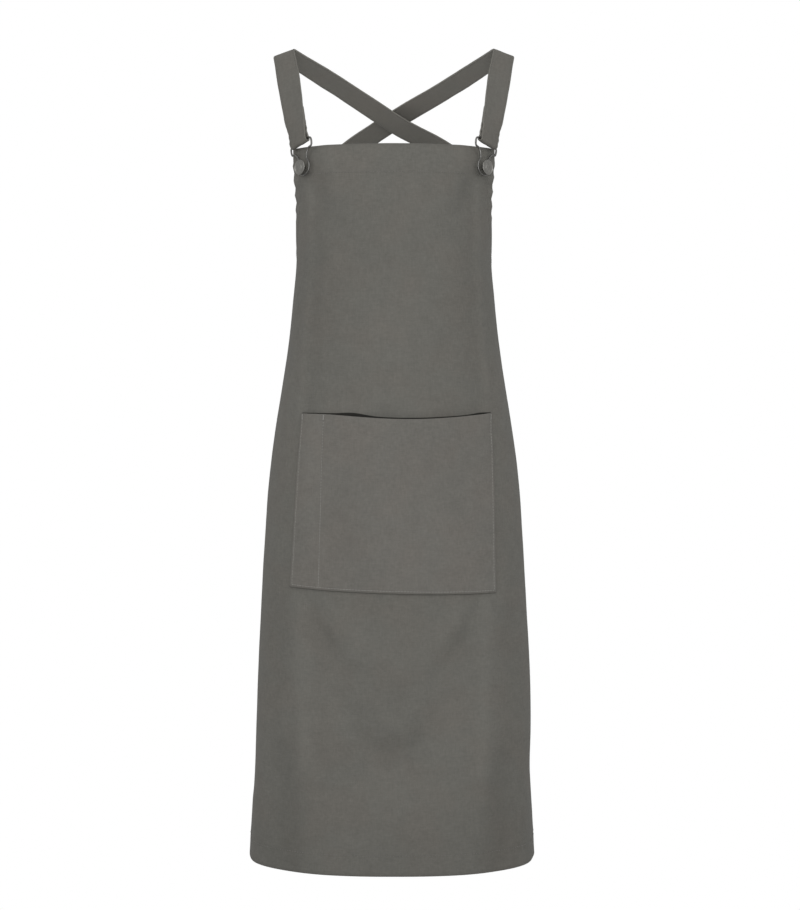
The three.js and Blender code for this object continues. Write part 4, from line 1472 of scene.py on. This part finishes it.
    def frames(self) -> list[tuple[Vector, Vector, Vector, float, float, float]]:
        """Each station's middle, way across, facing, half width, camber and length along."""
        s = self.sizes
        crossing = Vector((s.cross_shift, s.cross_reach, -s.cross_drop))
        clear = (s.thickness + SEAM_GAP) / 2 + s.cross_ease
        made, along = [], 0.0
        for place, station in enumerate(self.stations):
            before = self.stations[max(place - 1, 0)].point
            after = self.stations[min(place + 1, len(self.stations) - 1)].point
            facing = station.across.cross((after - before).normalized()) * -self.side
            half = station.gather * s.width / 2 / facing.length
            facing.normalize()
            far = (station.point - crossing).length
            middle = station.point + facing * (self.side * clear * math.exp(-((far / s.cross_spread) ** 2)))
            if made:
                along += (middle - made[-1][0]).length
            made.append((middle, station.across, facing, half, station.camber, along))
        return made

    def crinkle(self, share: float, along: float, bar_along: float) -> float:
        """The small gathers of the canvas where it is drawn round its bar, and its soft waves elsewhere.

        The tail behind the front layer takes the same shape, so that the two lie flat on each other.
        """
        off = abs(along - bar_along)
        layer = math.tanh((along - bar_along) / 6.0)
        near = math.exp(-(off / 26.0) ** 2)
        ripple = 0.55 * near * math.sin(share * 7.0 + 1.3 * math.sin(off * 0.16) + self.side)
        edge = 0.5 * near * abs(share) * math.sin(2 * math.pi * off / 8.5)
        wave = 0.45 * noise.noise(Vector((share * 0.8, off * 0.022, 4.0 + self.side)))
        return layer * (ripple + edge + wave)

    def build(self, canvas: bpy.types.Material) -> bpy.types.Object:
        """Makes the strap."""
        section = self.section()
        frames = self.frames()
        half_thick = self.sizes.thickness / 2
        bar_place = self.hook.place(-self.sizes.aside, self.hook.sizes.height)
        bar = min(range(len(frames)), key=lambda i: (frames[i][0] - bar_place).length)
        bar_along = frames[bar][5]
        girth = [0.0]
        for (u0, w0), (u1, w1) in zip(section, [*section[1:], section[0]]):
            girth.append(girth[-1] + math.hypot((u1 - u0) * self.sizes.width / 2, (w1 - w0) * half_thick))

        def place(column: int, row: int) -> tuple[Vector, tuple[float, float], float]:
            u, w = section[column % len(section)]
            middle, across, facing, half, camber, along = frames[row]
            swell = self.crinkle(u, along, bar_along)
            wobble = 0.35 * noise.noise(Vector((along * 0.05, u * 3.0, 8.0)))
            point = (middle + across * (u * (half + wobble))
                     + facing * (camber * u * u + w * half_thick + swell))
            # Paler edges from wear, and the inner face painted paler as painted light.
            worn = 0.5 * smoothstep(abs(u), 0.93, 1.0) + (self.inner_tone if w < 0 else 0.0)
            return point, (girth[column], along), worn

        mesh = cloth_grid(len(section), len(frames) - 1, place)
        bmesh.ops.remove_doubles(mesh, verts=mesh.verts, dist=0.0005)
        rims = [e for e in mesh.edges if e.is_boundary]
        bmesh.ops.holes_fill(mesh, edges=rims, sides=0)
        bmesh.ops.recalc_face_normals(mesh, faces=mesh.faces)
        name = self.hook.side.word
        self.bar_along = bar_along
        return to_object(mesh, f"canvas_strap_{name}", canvas, [f"strap_{name}"])

    def seams(self, thread: bpy.types.Material) -> bpy.types.Object:
        """Stitches both edges on both faces."""
        name = self.hook.side.word
        rows = Stitching(f"strap_stitching_{name}", pitch=3.8, length=3.0, thread=0.55)
        frames = self.frames()
        lengths = np.array([f[5] for f in frames])

        def at(along: float, share: float, face: float) -> tuple[Vector, Vector]:
            spot = min(max(along, 0.0), float(lengths[-1]))
            index = min(int(np.searchsorted(lengths, spot, "right")) - 1, len(frames) - 2)
            gap = lengths[index + 1] - lengths[index]
            t = (spot - lengths[index]) / gap if gap > 1e-9 else 0.0
            a, b = frames[index], frames[index + 1]
            middle, across, facing = a[0].lerp(b[0], t), a[1].lerp(b[1], t), a[2].lerp(b[2], t).normalized()
            half, camber = mix(a[3], b[3], t), mix(a[4], b[4], t)
            lift = self.crinkle(share, spot, self.bar_along)
            thick = self.sizes.thickness / 2 * 0.8
            return (middle + across * (share * half)
                    + facing * (camber * share * share + face * thick + lift), facing * face)

        groove = 1 - self.stitch_inset / (self.sizes.width / 2)
        for share in (-groove, groove):
            for face in (-1.0, 1.0):
                rows.along(lambda s, u=share, f=face: at(s, u, f)[0],
                           lambda s, u=share, f=face: at(s, u, f)[1], 2.0, float(lengths[-1]) - 2.0)
        return rows.finish(thread, "strap_canvas")

    def anchor_seam(self, thread: bpy.types.Material) -> bpy.types.Object:
        """Stitches the crossed box that holds the strap's end, seen on the panel's outer face."""
        name = self.hook.side.word
        rows = Stitching(f"anchor_stitching_{name}")
        s = self.sizes
        lean = math.tan(math.radians(s.seat_slant))

        def spot(share: float, below: float) -> tuple[float, float]:
            around, down, _ = self.seat_spot(below)
            return around + self.side * share * s.width / 2, down + lean * share * s.width / 2

        low, high, reach = 12.0, s.seat_length - 3.0, 0.8
        corners = [spot(-reach, low), spot(reach, low), spot(reach, high), spot(-reach, high)]
        lines = [(0, 1), (1, 2), (2, 3), (3, 0), (0, 2), (1, 3)]
        for first, second in lines:
            line = ClothLine([corners[first], corners[second]])
            rows.along(lambda d, l=line: self.panel.surface(*l(d), 0.12),
                       lambda d, l=line: self.panel.form.normal(*l(d)), 0.0, line.length)
        return rows.finish(thread, "canvas")


# The studio


@dataclass(frozen=True)
class Studio:
    """The camera, the lights and the seamless paper."""

    distance: float = 2.6
    eye_height: float = -0.346
    aside: float = 0.0076
    pitch: float = 3.3
    focal_pixels: float = 2095.0
    picture_height: float = 910.0
    floor: float = -1.16
    floor_radius: float = 0.62
    lit_strength: float = 0.62
    seen_strength: float = 1.0

    def camera(self) -> None:
        """Puts the camera where the photograph was taken from."""
        data = bpy.data.cameras.new("photo_camera")
        data.sensor_width = 36.0
        data.lens = self.focal_pixels * 36.0 / self.picture_height
        data.clip_end = 50.0
        camera = bpy.data.objects.new("photo_camera", data)
        camera.location = (self.aside, -self.distance, self.eye_height)
        camera.rotation_euler = (math.radians(90 - self.pitch), 0.0, 0.0)
        bpy.context.collection.objects.link(camera)
        bpy.context.scene.camera = camera

    def area(self, name: str, place: tuple[float, float, float], aim: tuple[float, float, float], size: float,
             power: float) -> None:
        """Adds one large soft light."""
        data = bpy.data.lights.new(name, "AREA")
        data.shape = "SQUARE"
        data.size = size
        data.energy = power
        light = bpy.data.objects.new(name, data)
        light.location = place
        light.rotation_euler = (Vector(aim) - Vector(place)).to_track_quat("-Z", "Y").to_euler()
        bpy.context.collection.objects.link(light)

    def lights(self) -> None:
        """Puts up the lights and the white surroundings."""
        self.area("left_softbox", (-3.1, -3.0, 1.7), (0.0, 0.0, -0.3), 2.6, 28.0)
        self.area("right_softbox", (3.1, -3.0, 1.7), (0.0, 0.0, -0.3), 2.6, 28.0)
        self.area("top_softbox", (0.0, -2.0, 2.2), (0.0, -0.1, -0.2), 1.8, 10.0)
        self.area("front_fill", (0.0, -3.0, -0.3), (0.0, 0.0, -0.2), 1.2, 17.0)
        world = bpy.data.worlds.new("white_surroundings")
        world.use_nodes = True
        nodes, links = world.node_tree.nodes, world.node_tree.links
        nodes.clear()
        path = nodes.new("ShaderNodeLightPath")
        either = nodes.new("ShaderNodeMixShader")
        out = nodes.new("ShaderNodeOutputWorld")
        links.new(path.outputs["Is Camera Ray"], either.inputs[0])
        for socket, strength in ((1, self.lit_strength), (2, self.seen_strength)):
            white = nodes.new("ShaderNodeBackground")
            white.inputs["Color"].default_value = (1.0, 1.0, 1.0, 1.0)
            white.inputs["Strength"].default_value = strength
            links.new(white.outputs[0], either.inputs[socket])
        links.new(either.outputs[0], out.inputs["Surface"])
        bpy.context.scene.world = world
        bpy.context.scene.view_settings.view_transform = "Standard"
        bpy.context.scene.view_settings.look = "None"

    def paper(self) -> None:
        """Lays the pale floor, a disc that ends below the picture."""
        mesh = bmesh.new()
        bmesh.ops.create_circle(mesh, cap_ends=True, segments=96, radius=self.floor_radius,
                                matrix=Matrix.Translation((0.0, -0.35, self.floor)))
        data = bpy.data.meshes.new("studio_floor")
        mesh.to_mesh(data)
        mesh.free()
        floor = bpy.data.objects.new("studio_floor", data)
        bpy.context.collection.objects.link(floor)
        face_with(floor, StudioPaper().build())


class Finishes:
    """Every finish on the apron."""

    def __init__(self, pocket: Pocket) -> None:
        """Builds the materials, the panel's with the pocket's shadow."""
        self.canvas = CanvasFinish("charcoal_canvas", (0.135, 0.132, 0.119)).build(pocket.shadow)
        self.pocket = CanvasFinish("pocket_canvas_weave", (0.146, 0.141, 0.128)).build()
        self.strap = CanvasFinish("strap_canvas_weave", (0.135, 0.131, 0.118)).build()
        self.thread = ThreadFinish("charcoal_thread", (0.135, 0.131, 0.118)).build()
        self.pale_thread = ThreadFinish("faded_thread", (0.24, 0.234, 0.218)).build()
        self.wire = PlatedMetal("gunmetal_wire", (0.16, 0.157, 0.15), (0.42, 0.41, 0.385), 0.26).build()
        self.button = PlatedMetal("gunmetal_button", (0.25, 0.245, 0.228), (0.5, 0.49, 0.45), 0.33).build()


def report(piece: bpy.types.Object) -> bpy.types.Object:
    """Logs a finished piece's faces."""
    log.info("%s: %d faces", piece.name, len(piece.data.polygons))
    return piece


def main() -> None:
    """Builds the apron's pieces in order, then the studio."""
    logging.basicConfig(level=logging.INFO, format="%(name)s: %(message)s")
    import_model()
    studio = Studio()
    studio.camera()
    form = WornForm()
    panel = Panel(form)
    pocket = Pocket(panel)
    finishes = Finishes(pocket)
    body = report(panel.build(finishes.canvas))
    hem_seams = report(panel.seams(finishes.thread))

    patch = report(pocket.build(finishes.pocket))
    patch_seams = report(pocket.seams(finishes.pale_thread))

    for side in Side:
        hook = Hook(form, side)
        report(hook.build(finishes.wire))
        report(Button(hook).build(finishes.button))
        strap = Strap(panel, hook)
        band = report(strap.build(finishes.strap))
        band_seams = report(strap.seams(finishes.thread))
        report(strap.anchor_seam(finishes.thread))
        round(strap.frames()[-1][5] * MM, 3)

    studio.lights()
    studio.paper()


if __name__ == "__main__":
    main()
